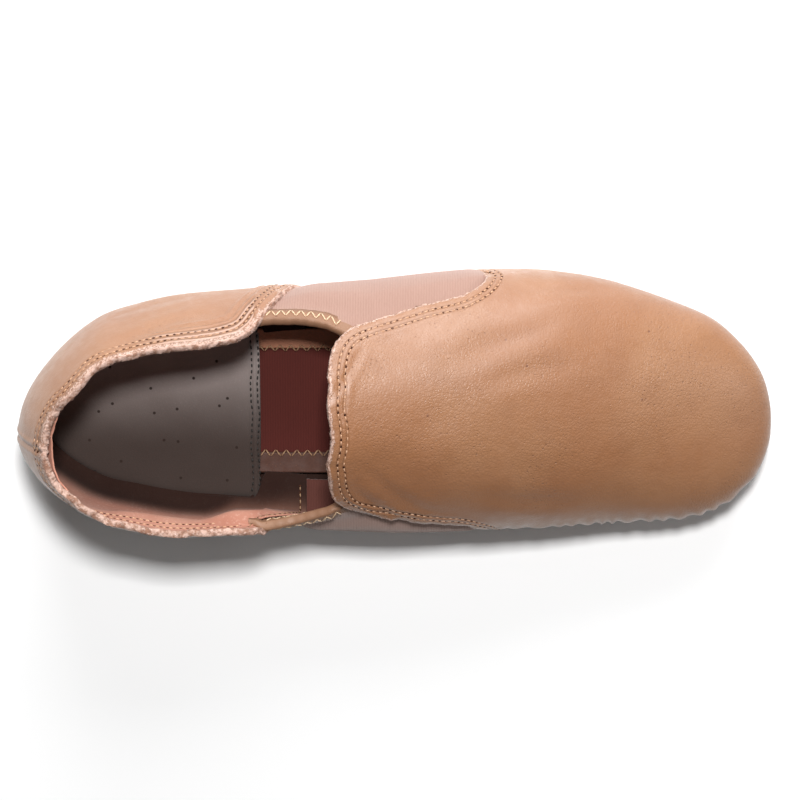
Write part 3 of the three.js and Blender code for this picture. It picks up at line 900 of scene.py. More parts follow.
@dataclass(frozen=True)
class Suede:
    """A napped surface: the lining, the raw edges and the heel pad.

    Painted shade darkens it below two heights in metres, and a second painted shade darkens it from one side
    to the other.
    """

    name: str
    base: tuple
    dark: tuple
    pale: tuple
    nap: float = 0.00012
    scale: float = 900.0
    specks: float = 0.0
    speck_scale: float = 82.0
    speck_tone: tuple = (0.006, 0.005, 0.005)
    # Painted shade: the nap turns nearly black below two heights, for the shade deep inside the shoe
    painted_low_shade: float = 0.0
    painted_low_shade_heights: tuple = (0.0178, 0.0290)
    painted_low_shade_tone: tuple = (0.006, 0.002, 0.0015)
    # Painted shade: a darker tone that takes over from one side across to the other, for the light from the
    # lateral side
    painted_side_shade: tuple | None = None
    painted_side_shade_across: tuple = (-0.018, 0.028)
    painted_side_shade_share: float = 0.93
    clots: float = 0.3
    blotch: float = 60.0

    def make(self) -> Material:
        """Builds the material."""
        g = Graph(self.name)
        drift = g.noise(self.blotch, 3.0).ramp(0.5 - self.clots, 0.5 + self.clots)
        tone = g.mix(drift, self.dark, self.base)
        fibre = g.noise(self.scale, 4.0, rough=0.7)
        tone = g.mix(fibre.ramp(0.5, 0.8) * 0.6, tone, self.pale)
        if self.specks:
            settings = {"feature": "F1", "voronoi_dimensions": "2D"}
            values = {"Vector": g.place(), "Scale": self.speck_scale}
            near = g.node("ShaderNodeTexVoronoi", settings, values, "Distance")
            tone = g.mix((1 - near.ramp(0.028, 0.052)) * self.specks, tone, self.speck_tone)
        # Painted shade: nearly black below the given heights, where the inside of the shoe lies in shade
        if self.painted_low_shade:
            height = g.node("ShaderNodeSeparateXYZ", {}, {0: g.place()}, "Z")
            tone = g.mix((1 - height.ramp(*self.painted_low_shade_heights)) * self.painted_low_shade, tone, self.painted_low_shade_tone)
        # Painted shade: darker from the lateral side across to the medial side, for the light that falls from
        # the lateral side
        if self.painted_side_shade:
            across = g.node("ShaderNodeSeparateXYZ", {}, {0: g.place()}, "Y")
            side_shade = (1 - across.ramp(*self.painted_side_shade_across)) * self.painted_side_shade_share
            tone = g.mix(side_shade, tone, self.painted_side_shade)
        g.set("Base Color", tone)
        g.set("Roughness", 0.92)
        g.set("Specular IOR Level", 0.15)
        g.set("Sheen Weight", 0.05)
        g.set("Sheen Roughness", 0.5)
        g.set("Normal", g.bump(fibre, self.nap, 1.0))
        return g.material


@dataclass(frozen=True)
class Elastic:
    """Ribbed elastic webbing: fine ribs across the shoe's length, crossed by the weave.

    The rib scale is the wave pattern's own, and puts the ribs 0.84 mm apart.
    """

    name: str
    base: tuple
    dark: tuple
    rib_scale: float = 374.48134

    def make(self) -> Material:
        """Builds the material."""
        g = Graph(self.name)
        wobble = {"Vector": g.place(), "Scale": self.rib_scale, "Distortion": 0.6, "Detail": 1.0}
        ribs = g.node("ShaderNodeTexWave", {"wave_type": "BANDS", "bands_direction": "X"}, wobble, "Fac")
        weave = g.noise(1800.0, 2.0, at=g.place((1.0, 0.35, 0.35)))
        tone = g.mix(ribs.ramp(0.0, 0.8, 0.6, 1.0), self.dark, self.base)
        tone = g.mix(weave.ramp(0.45, 0.8) * 0.3, tone, self.dark)
        tone = g.mix(g.noise(45.0, 2.0).ramp(0.35, 0.7) * 0.25, tone, self.dark)
        g.set("Base Color", tone)
        g.set("Roughness", 0.85)
        g.set("Specular IOR Level", 0.2)
        g.set("Sheen Weight", 0.25)
        g.set("Normal", g.bump(ribs * 0.5 + weave * 0.6, 0.00013, 0.8))
        return g.material


@dataclass(frozen=True)
class Rubber:
    """Black sole rubber with a fine pebble."""

    name: str = "sole_rubber"

    def make(self) -> Material:
        """Builds the material."""
        g = Graph(self.name)
        grit = g.cells(900.0)
        tone = g.mix(g.noise(70.0, 3.0).ramp(0.3, 0.7), (0.012, 0.011, 0.011), (0.028, 0.026, 0.025))
        g.set("Base Color", tone)
        g.set("Roughness", g.noise(200.0, 2.0).ramp(0.3, 0.7, 0.55, 0.75))
        g.set("Normal", g.bump(grit, 0.00015, 0.7))
        return g.material


@dataclass(frozen=True)
class Thread:
    """Twisted sewing thread."""

    name: str
    base: tuple
    dark: tuple

    def make(self) -> Material:
        """Builds the material."""
        g = Graph(self.name)
        twist = g.noise(2600.0, 1.0)
        g.set("Base Color", g.mix(twist.ramp(0.35, 0.65), self.dark, self.base))
        g.set("Roughness", 0.6)
        g.set("Normal", g.bump(twist, 0.00008, 0.6))
        return g.material


@dataclass(frozen=True)
class Puncture:
    """Painted shade for the inside of a needle hole: a dark colour that stands for the shade in the hole."""

    name: str = "needle_hole"

    def make(self) -> Material:
        """Builds the material."""
        g = Graph(self.name)
        patchy = g.noise(1500.0).ramp(0.3, 0.7)
        g.set("Base Color", g.mix(patchy, (0.045, 0.016, 0.009), (0.09, 0.034, 0.018)))
        g.set("Roughness", 0.9)
        g.set("Specular IOR Level", 0.1)
        return g.material


def material_of(finish: Leather | Suede | Elastic | Rubber | Thread | Puncture) -> Material:
    """A field that holds the material of a finish."""
    return field(default_factory=finish.make)


MATT = {"coat": 0.0, "roughness": 0.7, "grain": 0.00008}


@dataclass
class Finishes:
    """All materials, made once, each with its tones: the usual one, the darker and the paler."""

    leather: Material = material_of(
        Leather(
            "tan_leather", (0.280, 0.120, 0.051), (0.200, 0.078, 0.030), (0.310, 0.146, 0.068), edged=True
        )
    )
    # The lining carries painted shade, nearly black low down in the shoe
    lining: Material = material_of(
        Suede("lining_suede", (0.50, 0.25, 0.18), (0.38, 0.16, 0.11), (0.66, 0.42, 0.34), painted_low_shade=0.96)
    )
    raw: Material = material_of(
        Suede(
            "raw_edge", (0.57, 0.385, 0.315), (0.30, 0.16, 0.11), (0.88, 0.74, 0.68), 0.0004, 1300.0,
            clots=0.11, blotch=520.0,
        )
    )
    elastic: Material = material_of(Elastic("gore_elastic", (0.330, 0.205, 0.165), (0.275, 0.158, 0.124)))
    # The gore elastic's inner face: a dark copy of the gore elastic, painted shade for the inside of the shoe
    behind: Material = material_of(Elastic("gore_lining", (0.095, 0.030, 0.022), (0.070, 0.020, 0.014)))
    # The arch elastic: its own dark red, painted darker still for the shade inside the shoe
    arch: Material = material_of(Elastic("arch_elastic", (0.078, 0.013, 0.009), (0.052, 0.008, 0.006)))
    binding: Material = material_of(
        Leather(
            "binding_leather", (0.235, 0.118, 0.065), (0.180, 0.083, 0.043), (0.27, 0.145, 0.084),
            coat=0.0, roughness=0.6, grain=0.0001,
        )
    )
    # The same tape leather twice: a paler copy with painted light for the lateral side, and a dark copy with
    # painted shade for the medial side
    tape: Material = material_of(
        Leather("tape_leather", (0.36, 0.150, 0.085), (0.25, 0.095, 0.050), (0.42, 0.180, 0.105), **MATT)
    )
    shaded_tape: Material = material_of(
        Leather(
            "shaded_tape_leather", (0.060, 0.020, 0.011), (0.040, 0.013, 0.007), (0.075, 0.026, 0.015), **MATT
        )
    )
    # The heel pad carries painted shade, darker towards the medial side
    pad: Material = material_of(
        Suede(
            "pad_microfibre", (0.36, 0.305, 0.288), (0.30, 0.250, 0.235), (0.42, 0.360, 0.340),
            0.00006, 1400.0, 0.95, painted_side_shade=(0.030, 0.019, 0.015),
        )
    )
    rubber: Material = material_of(Rubber())
    thread: Material = material_of(Thread("tan_thread", (0.58, 0.36, 0.23), (0.40, 0.21, 0.12)))
    cream: Material = material_of(Thread("cream_thread", (0.72, 0.55, 0.38), (0.54, 0.35, 0.21)))
    dull: Material = material_of(Thread("tape_thread", (0.36, 0.22, 0.12), (0.24, 0.13, 0.07)))
    black: Material = material_of(Thread("dark_thread", (0.02, 0.016, 0.014), (0.01, 0.008, 0.007)))
    # Needle holes in a dark colour: painted shade inside the holes
    hole: Material = material_of(Puncture())


@dataclass(frozen=True)
class Crease:
    """A soft trough with a ridge beside it, from one place on the skin to another.

    Places are a station in millimetres and a girth angle in degrees. The bow lifts the middle sideways.
    """

    start: tuple
    end: tuple
    depth: float
    width: float
    bow: float = 0.0


# The creases that show, listed from the heel to the toe
CREASES = (
    Crease((103, 74), (112, 52), 0.30, 1.2, 1.0),
    Crease((104, 96), (107, 66), 0.22, 0.8, 0.6),
    Crease((105.5, 112), (108, 84), 0.25, 0.9, -0.7),
    Crease((104, 126), (122, 150), 0.45, 1.8, 2.0),
    Crease((108, 118), (128, 146), 0.35, 1.6, 1.5),
    Crease((112, 106), (136, 138), 0.28, 2.0, 2.5),
    Crease((140, 60), (176, 44), 0.35, 3.2, 2.0),
    Crease((150, 74), (182, 66), 0.25, 3.0, -2.0),
    Crease((146, 124), (184, 132), 0.30, 3.2, 2.0),
    Crease((160, 28), (192, 18), 0.35, 2.6, 1.5),
    Crease((156, 168), (190, 174), 0.40, 2.4, -1.5),
    Crease((20, 62), (52, 40), 0.40, 2.2, 1.5),
    Crease((34, 30), (66, 20), 0.35, 2.4, -1.5),
    Crease((30, 8), (60, 2), 0.30, 2.6, 1.0),
    Crease((16, 128), (44, 146), 0.40, 2.2, 1.5),
    Crease((28, 160), (62, 168), 0.40, 2.6, -1.5),
    Crease((84, 4), (118, 6), 0.30, 2.4, 1.0),
    Crease((86, 176), (120, 174), 0.35, 2.4, -1.0),
)


@dataclass
class Skin:
    """The leather's outer face: the last with its creases, pleats, seam ridges and edges."""

    last: Last
    collar: Cut
    creases: tuple = CREASES
    toe_middle: float = 190.0
    toe_radius: float = 52.0
    pleat_pitch: float = 8.5
    pleat_height: float = 0.65
    ply_rows: tuple = (2.2, 4.6, 7.2, 9.8)
    ply_height: float = 0.55
    pucker_pitch: float = 2.2
    back_seam: float = -5.0
    lip: float = 0.9
    sag: float = 3.0
    sag_below: float = 13.5

    def crease_height(self, points: Array) -> Array:
        """Sum of the creases at points: a bell-shaped trough along each and a lower ridge beside it."""
        height = np.zeros(len(points))
        t = np.linspace(0, 1, 24)
        for c in self.creases:
            station = c.start[0] + (c.end[0] - c.start[0]) * t
            angle = np.radians(c.start[1] + (c.end[1] - c.start[1]) * t + c.bow * 4 * t * (1 - t))
            path = self.last.point(station, angle)
            reach = 5 * c.width
            low, high = path.min(0) - reach, path.max(0) + reach
            near = ((points > low) & (points < high)).all(1)
            if not near.any():
                continue
            part = points[near]
            square = ((part[:, None, :] - path[None]) ** 2).sum(-1)
            k = square.argmin(1)
            far = np.sqrt(square[np.arange(len(part)), k])
            taper = np.sin(np.pi * np.clip(t[k], 0.02, 0.98)) ** 0.7
            ridge = bell(far, 2.1 * c.width, 1.1 * c.width)
            height[near] += taper * c.depth * (0.45 * ridge - bell(far, 0, c.width))
        return height

    def pleats(self, points: Array, station: Array, angle: Array) -> Array:
        """Height of the gathers round the toe, which fade upwards, towards the waist and at the tip.

        On the outer side they stay low, and on the inner side they reach over the widest line.
        """
        down = -np.sin(angle)
        low = np.where(np.cos(angle) < 0, smooth_step(-0.62, 0.0, down), smooth_step(0.2, 0.7, down))
        low = low * smooth_step(130, 185, station) * (1 - smooth_step(236, 245, station))
        x, y = points[:, 0], points[:, 1]
        around = np.arctan2(y + 2, x - self.toe_middle) * self.toe_radius + x * 0.35
        turn = TURN * around / self.pleat_pitch + 1.3 * waves(around, 8, 30.0)
        return self.pleat_height * low * np.sin(turn)

    def plies(self, points: Array, edge: Array) -> Array:
        """Height of the folded layers' ridges along the back of the outer quarter's topline."""
        x = points[:, 0]
        ply = sum(bell(edge, at, 0.75) for at in self.ply_rows)
        outer_back = smooth_step(44, 58, x) * (x < 84) * (points[:, 1] > 5)
        return self.ply_height * ply * outer_back

    def seam_ridges(self, edge: Array, run: Array) -> Array:
        """Height of the ridges beside the two seam rows, and of the puckers and the lip along them."""
        between, outside = sum(SEAM_ROWS) / 2, SEAM_ROWS[0] - 1.3
        ridges = bell(edge, between, 0.7) + 0.8 * bell(edge, outside, 0.8)
        ridges += 0.6 * bell(edge, SEAM_ROWS[1] + 1.2, 0.9)
        height = 0.24 * ridges * (1 + 0.35 * waves(run, 6, 9.0))
        height += 0.06 * np.sin(TURN * run / self.pucker_pitch) * bell(edge, 3.9, 1.3)
        return height + 0.16 * bell(edge, 0, 1.3) * waves(run, 5, 7.0)

    def relief(self, station: Array, angle: Array, edge: Array, run: Array) -> Array:
        """Height of the leather over the last.

        The parts are the creases, the sag, a slow unevenness, the pleats, the ridges beside the seam rows,
        the layers' ridges, the window's base drawn in under the stretched gore, and the back seam.

        Args:
            station: stations of the points.
            angle: their girth angles.
            edge: distance to the leather's edge.
            run: distance along that edge.

        Returns:
            A height for each point, in millimetres.
        """
        points = self.last.point(station, angle)
        x, y, z = points.T
        height = self.crease_height(points) + self.slack(points)
        height += 0.16 * waves(x + 0.6 * z, 3, 38.0) * waves(y - 0.3 * x, 4, 31.0)
        height += self.pleats(points, station, angle) + self.plies(points, edge)
        over = 1 - smooth_step(0.30, 0.75, -np.sin(angle))
        height += over * self.seam_ridges(edge, run)
        base = (1 - smooth_step(-0.2, 0.3, np.sin(angle))) * smooth_step(87, 96, station) * (station < 153)
        height -= 1.5 * base * bell(edge, 0, 4.5)
        back = np.abs(y - self.back_seam)
        tail = (station < 30) * (1 - smooth_step(10, 24, station))
        return height + tail * (0.35 * bell(back, 1.6, 0.9) - 0.45 * bell(back, 0, 0.55))

    def slack(self, points: Array) -> Array:
        """Height of the medial side where it sags inwards under its upper edge and its lip stands out again.

        Both are bells over the distance below the edge in the side view, faded out towards the heel and the
        wing.
        """
        line = self.last.line(TOPLINE, self.last.sizes.quarter_height, 24)
        rim = self.last.line(RIM[1:], self.last.sizes.instep_height, 16)
        path = np.concatenate([line, rim[rim[:, 0] > line[-1, 0]]])
        x = points[..., 0]
        below = np.interp(x, path[:, 0], path[:, 1]) - points[..., 2]
        fade = smooth_step(16, 42, x) * (1 - smooth_step(72, 100, x)) * (points[..., 1] < -5)
        return fade * (self.lip * bell(below, 0, 3.5) - self.sag * bell(below, self.sag_below, 7.5))

    def beneath(self, station: Array, angle: Array, depth: Array) -> Array:
        """Points at a depth under the skin, with its sag."""
        return self.last.beneath(station, angle, depth - self.slack(self.last.point(station, angle)))

    def at(self, station: Array, angle: Array, edge: Array, run: Array) -> Array:
        """Points of the leather's outer face."""
        lift = self.relief(station, angle, edge, run)
        return self.last.point(station, angle) + lift[:, None] * self.last.normal(station, angle)


def girth_angles(last: Last, count: int) -> Array:
    """Girth angles at even distances round the section at the instep, from the underside's middle."""
    fine = np.linspace(-TOP, TURN - TOP, 4000)
    run = run_length(last.point(np.full(4000, 0.45 * last.sizes.length), fine))
    return np.interp(np.arange(count) / count * run[-1], run, fine)


def cap_stations(last: Last, start: float, end: float, pitch: float) -> Array:
    """Stations at an even pitch, drawn together on circles towards the two tips."""
    s = last.sizes
    quarter = np.linspace(0, TOP, int(1.35 * s.heel_cap / pitch))
    heel = s.heel_cap * (1 - np.cos(quarter))
    sweep = np.linspace(0, TOP, int(1.35 * s.toe_cap / pitch))
    toe = s.length - s.toe_cap * (1 - np.sin(sweep))
    body = np.arange(s.heel_cap + pitch, s.length - s.toe_cap, pitch)
    every = np.concatenate([heel, body, toe])
    kept = every[(every > start + pitch / 3) & (every < end - pitch / 3)]
    return np.concatenate([[start], kept, [end]])


@dataclass
class LeatherPiece:
    """A piece of the upper between two stations, with a real thickness."""

    name: str
    skin: Skin
    cuts: list
    start: float
    end: float
    pitch: float
    girth: int
    thickness: float
    edge_thickness: float
    laps: tuple

    def lap(self, station: Array) -> Array:
        """Lift of the piece where it laps over or under its neighbour."""
        at, width, lift = self.laps
        over = 1 - smooth_step(0, width, np.abs(station - at))
        return lift * over

    def patch(self) -> Patch:
        """The piece as a closed sheet.

        A grid of stations and girth angles covers the skin. Grid points near a cut's line move onto it, faces
        inside go, a face with one corner inside keeps the other three, and what is left of the border moves
        onto the line. The inner face lies a thickness deeper. The values kept are the distance to the edge,
        and where the leather folds, is raw and shows its layers.
        """
        last = self.skin.last
        stations = cap_stations(last, self.start, self.end, self.pitch)
        angles = girth_angles(last, self.girth)
        shape = (len(stations), len(angles))
        station = np.broadcast_to(stations[:, None], shape).reshape(-1).copy()
        angle = np.broadcast_to(angles[None, :], shape).reshape(-1).copy()
        inside = np.zeros(len(station), bool)
        edge = np.full(len(station), 60.0)
        run = np.zeros(len(station))
        points = last.point(station, angle)
        moved = np.zeros(len(station), bool)
        owner = np.zeros(len(station), int)
        near_index = np.zeros(len(station), int)
        for number, cut in enumerate(self.cuts):
            index, far = cut.nearest(points)
            inside |= cut.holds(stations, angles).reshape(-1)
            close = far < edge
            owner[close], near_index[close], edge[close] = number, index[close], far[close]
            run[close] = cut.run[index[close]]
        for number, cut in enumerate(self.cuts):
            snap = (owner == number) & (edge < 0.42 * self.pitch) & (station > 0.5)
            station[snap], angle[snap] = cut.station[near_index[snap]], cut.angle[near_index[snap]]
            moved |= snap
        inside &= ~moved
        quads = grid_faces(*shape, closed=True)
        bad = inside[quads]
        count = bad.sum(1)
        tris = [quads[(count == 1) & bad[:, k]][:, [(k + 1) % 4, (k + 2) % 4, (k + 3) % 4]] for k in range(4)]
        patch = Patch(points, quads[count == 0], np.concatenate(tris))
        border = np.unique(patch.border().reshape(-1))
        loose = border[(edge[border] < 1.6 * self.pitch) & ~moved[border]]
        for number, cut in enumerate(self.cuts):
            mine = loose[owner[loose] == number]
            station[mine], angle[mine] = cut.station[near_index[mine]], cut.angle[near_index[mine]]
            edge[mine] = 0
        edge[moved] = 0
        top = np.where(owner == 0, edge, 60.0)
        normal = last.normal(station, angle)
        outer = self.skin.at(station, angle, top, run) + self.lap(station)[:, None] * normal
        thick = self.thickness + (self.edge_thickness - self.thickness) * bell(top, 0, 3.0)
        fold = np.clip(-self.skin.crease_height(points) / 0.4, 0, 1)
        inner = outer - thick[:, None] * normal
        for row, tip in ((0, self.start <= 0), (shape[0] - 1, self.end >= last.sizes.length)):
            if tip:
                ring = slice(row * shape[1], (row + 1) * shape[1])
                outer[ring] = outer[ring].mean(0)
                inner[ring] = outer[ring] - thick[ring][:, None] * unit(normal[ring].mean(0))
        lateral = (station < 78) & (np.cos(angle) > 0)
        layers = smooth_step(34, 52, station) * lateral * (1 - smooth_step(6.2, 8.2, top))
        reach = np.where(station < 80, 2.7, 0.85)
        values = {"edge": top, "fold": fold, "raw": 1 - smooth_step(0, 1, top / reach), "layers": layers}
        outside = Patch(outer, patch.quads, patch.tris, values=values).trimmed()
        used = np.unique(np.concatenate([patch.quads.reshape(-1), patch.tris.reshape(-1)]))
        return shell(outside, inner[used], 2, 1, roundness=0.24, steps=5, fray=0.17).welded()


@dataclass
class Upper:
    """The leather upper: the quarters round the heel and the vamp over the toe."""

    skin: Skin
    arch: Cut
    finishes: Finishes
    place: Place
    seam: float = 94.0
    lap: float = 2.5

    def build(self) -> list:
        """Makes both pieces, which lap at the seam, and rides them on the shoe."""
        cuts = [self.skin.collar, self.arch]
        end = self.skin.last.sizes.length
        back, front = self.seam - self.lap, self.seam + self.lap
        quarter = LeatherPiece(
            "quarters", self.skin, cuts, 0.0, front, 0.72, 280, 1.5, QUARTER_EDGE, (front, 7.0, 0.45)
        )
        vamp = LeatherPiece(
            "vamp", self.skin, cuts, back, end, 0.9, 264, 1.45, VAMP_EDGE, (back, 9.0, -0.75)
        )
        materials = [self.finishes.leather, self.finishes.lining, self.finishes.raw]
        return [
            attach(make_mesh(piece.name, piece.patch(), self.place, materials), "tan_leather", "upper")
            for piece in (quarter, vamp)
        ]


@dataclass
class Gore:
    """One elastic gore with its folded binding, behind the leather of one side."""

    skin: Skin
    side: Side
    finishes: Finishes
    place: Place
    back: float = 0.322
    front: float = 0.643
    hem: float = 16.0
    swell: float = 2.2
    tucked: float = 1.1
    binding_back: float = 0.306
    binding_front: float = 0.470
    thread: float = 0.26

    @property
    def last(self) -> Last:
        """The last under the skin."""
        return self.skin.last

    @property
    def outside(self) -> float:
        """Depth of the gore's outer face."""
        return self.last.sizes.wall + self.last.sizes.clearance

    @property
    def span(self) -> float:
        """Thickness of the folded binding, from its outer to its inner face."""
        s = self.last.sizes
        return 2 * s.clearance + s.elastic + 2 * s.binding

    @property
    def node(self) -> str:
        """How the side is written in the names of nodes."""
        return self.side.name.lower()

    def rim_height(self, x: Array) -> Array:
        """Height of the gore's upper edge."""
        s = self.last.sizes
        line = self.last.line(RIM, s.instep_height, 16)
        return np.interp(x, line[:, 0], line[:, 1])

    def build(self) -> list:
        """Makes the elastic, the binding and its zigzag."""
        return [self.elastic(), self.binding(), self.zigzag()]

    def elastic(self) -> Object:
        """The elastic: a ribbed band from under the window's base to its rim.

        It swells a little in its middle, and its front end is tucked deeper under the leather.
        """
        s, last = self.last.sizes, self.last
        x = np.linspace(s.length * self.back, s.length * self.front, 150)
        base = last.line(QUARTER_FRONT[-3:] + WINDOW_BASE, s.instep_height, 16)
        wing = last.line(tuple(reversed(WING)), s.instep_height, 16)
        low = np.maximum(np.interp(x, base[:, 0], base[:, 1]) - self.hem, last.seat(x) + 1.5)
        rim = self.rim_height(x) - s.binding - s.clearance
        cover = np.interp(x, wing[:, 0], wing[:, 1], left=1e3) + s.tuck
        tall = np.maximum(np.minimum(rim, cover), low + 4) - low
        t = np.linspace(0, 1, 60)[None, :]
        z = low[:, None] + tall[:, None] * t
        station, angle = last.on_side(np.broadcast_to(x[:, None], z.shape), z, self.side)
        along = (x / s.length)[:, None]
        swell = smooth_step(0.10, 0.34, t) * (1 - smooth_step(0.58, 0.84, t))
        swell = swell * smooth_step(8, 22, tall)[:, None] * smooth_step(0.33, 0.40, along)
        depth = self.outside - self.swell * swell + self.tucked * smooth_step(0.590, 0.628, along)
        outer = self.skin.beneath(station, angle, depth)
        inner = self.skin.beneath(station, angle, depth + s.elastic)
        patch = sheet(outer, inner, self.side is Side.MEDIAL, 0.3, 1)
        # The inner face and rim take the dark copy of the elastic: painted shade
        materials = [self.finishes.elastic, self.finishes.behind]
        obj = make_mesh(f"gore_{self.node}_elastic", patch, self.place, materials)
        return attach(obj, "gore_elastic", f"gore_{self.node}")

    def fold_depth(self, x: Array) -> Array:
        """Depth of the binding's outer face: just under the skin, and deeper where leather covers it."""
        s = self.last.sizes
        wing, quarter = s.length * 0.430, (s.length * 0.318, s.length * 0.330)
        covered = smooth_step(wing - 5, wing - 1, x) + (1 - smooth_step(*quarter, x))
        return s.wall - s.binding + 0.95 * np.clip(covered, 0, 1)

    def strip(self, x: Array, down: Array, deeper: Array | float) -> Array:
        """Points of the binding: down from the rim in the side view, and deeper than its outer face."""
        z = self.rim_height(x) - down
        station, angle = self.last.on_side(x, z, self.side)
        return self.skin.beneath(station, angle, self.fold_depth(x) + deeper)

    def binding(self) -> Object:
        """The strip folded over the rim: a U-shaped profile carried along it.

        Down the outside, round the top and down the inside, then back along its own inner face.
        """
        s, span = self.last.sizes, self.span
        x = np.linspace(s.length * self.binding_back, s.length * self.binding_front, 110)
        turn = np.linspace(0, math.pi, 9)
        leg, crown = [s.binding_width, s.binding_width * 0.6, 1.4], 0.9 * (1 - np.sin(turn))
        lining_leg = [s.binding_width, 2.0, s.binding + 0.4]
        down = np.concatenate([leg, crown, leg[::-1], lining_leg, lining_leg[::-1]])
        outer_deep, inner_deep = [0.15, 0.0, 0.0], [span - s.binding] * 3 + [s.binding] * 3
        deep = np.concatenate([outer_deep, span / 2 * (1 - np.cos(turn)), [span] * 3, inner_deep])
        xs = np.broadcast_to(x[:, None], (len(x), len(down)))
        ripple = 0.12 * waves(x, 21, 6.0)[:, None]
        tip = 0.25 + 0.75 * smooth_step(s.length * self.binding_back, s.length * 0.335, x)[:, None]
        points = self.strip(xs, down * tip + ripple, deep * (0.4 + 0.6 * tip))
        quads = grid_faces(len(x), len(down), closed=True)
        if self.side is Side.LATERAL:
            quads = quads[:, ::-1]
        patch = Patch(points.reshape(-1, 3), quads)
        obj = make_mesh(f"binding_{self.node}_strip", patch, self.place, [self.finishes.binding])
        return attach(obj, "binding_leather", f"binding_{self.node}")

    def zigzag(self) -> Object:
        """The cream zigzag along the binding, on its outer and its inner leg."""
        s = self.last.sizes
        x = np.arange(s.length * 0.330, s.length * 0.432, 1.6)
        down = np.where(np.arange(len(x)) % 2 == 0, 1.3, 4.0)
        station, angle = self.last.on_side(x, self.rim_height(x) - down, self.side)
        normal = self.last.normal(station, angle)
        lean = (normal[:-1] + normal[1:]) / 2
        tip = self.strip(x, down, -0.12)
        back = self.strip(x, down, self.span + 0.12)
        outside = threads(tip[:-1], tip[1:], lean, self.thread, 0.1)
        patch = outside.joined(threads(back[:-1], back[1:], -lean, self.thread, 0.1))
        obj = make_mesh(f"binding_{self.node}_zigzag", patch, self.place, [self.finishes.cream])
        return attach(obj, "binding_leather")


def threads(start: Array, end: Array, normal: Array, radius: float, arch: float) -> Patch:
    """Short threads from hole to hole, each a spindle of a few rings that rises in its middle.

    Args:
        start: where each thread comes up.
        end: where it goes down.
        normal: the way out of the surface.
        radius: the thread's radius.
        arch: how far its middle rises.

    Returns:
        All threads as one patch.
    """
    rings, sides = 7, 6
    t = np.linspace(0, 1, rings)
    shape = np.sin(np.pi * np.clip(t, 0, 1)) ** 0.45
    along = unit(end - start)
    across = unit(np.cross(normal, along))
    up = np.cross(along, across)
    centre = start[:, None] + (end - start)[:, None] * t[None, :, None]
    centre = centre + normal[:, None] * (arch * shape - 0.25 * radius)[None, :, None]
    turn = (TURN * np.arange(sides) / sides)[None, None, :, None]
    ring = np.cos(turn) * across[:, None, None] + np.sin(turn) * up[:, None, None]
    points = centre[:, :, None] + ring * (radius * shape)[None, :, None, None]
    quads = grid_faces(rings, sides, closed=True)
    every = quads[None] + (np.arange(len(start)) * rings * sides)[:, None, None]
    return Patch(points.reshape(-1, 3), every.reshape(-1, 4)).welded(1e-4)


def punctures(points: Array, normal: Array, along: Array, radius: float) -> Patch:
    """Needle holes: small round cups with a rim a little over the surface and a sunken middle."""
    sides = 8
    turn = TURN * np.arange(sides) / sides
    along = unit(along - (along * normal).sum(1, keepdims=True) * normal)
    across = np.cross(normal, along)
    rim = along[:, None] * np.cos(turn)[None, :, None] * 1.15 + across[:, None] * np.sin(turn)[None, :, None]
    rim = points[:, None] + radius * rim + 0.05 * normal[:, None]
    base = rim - 0.25 * normal[:, None]
    middle = (points + 0.02 * normal)[:, None]
    verts = np.concatenate([middle, rim, base], 1)
    k = np.arange(sides)
    top = np.stack([np.zeros(sides, int), 1 + k, 1 + (k + 1) % sides], -1)
    wall = np.stack([1 + (k + 1) % sides, 1 + k, 1 + sides + k, 1 + sides + (k + 1) % sides], -1)
    shift = (np.arange(len(points)) * (1 + 2 * sides))[:, None, None]
    walls, tops = (wall[None] + shift).reshape(-1, 4), (top[None] + shift).reshape(-1, 3)
    return Patch(verts.reshape(-1, 3), walls, tops)


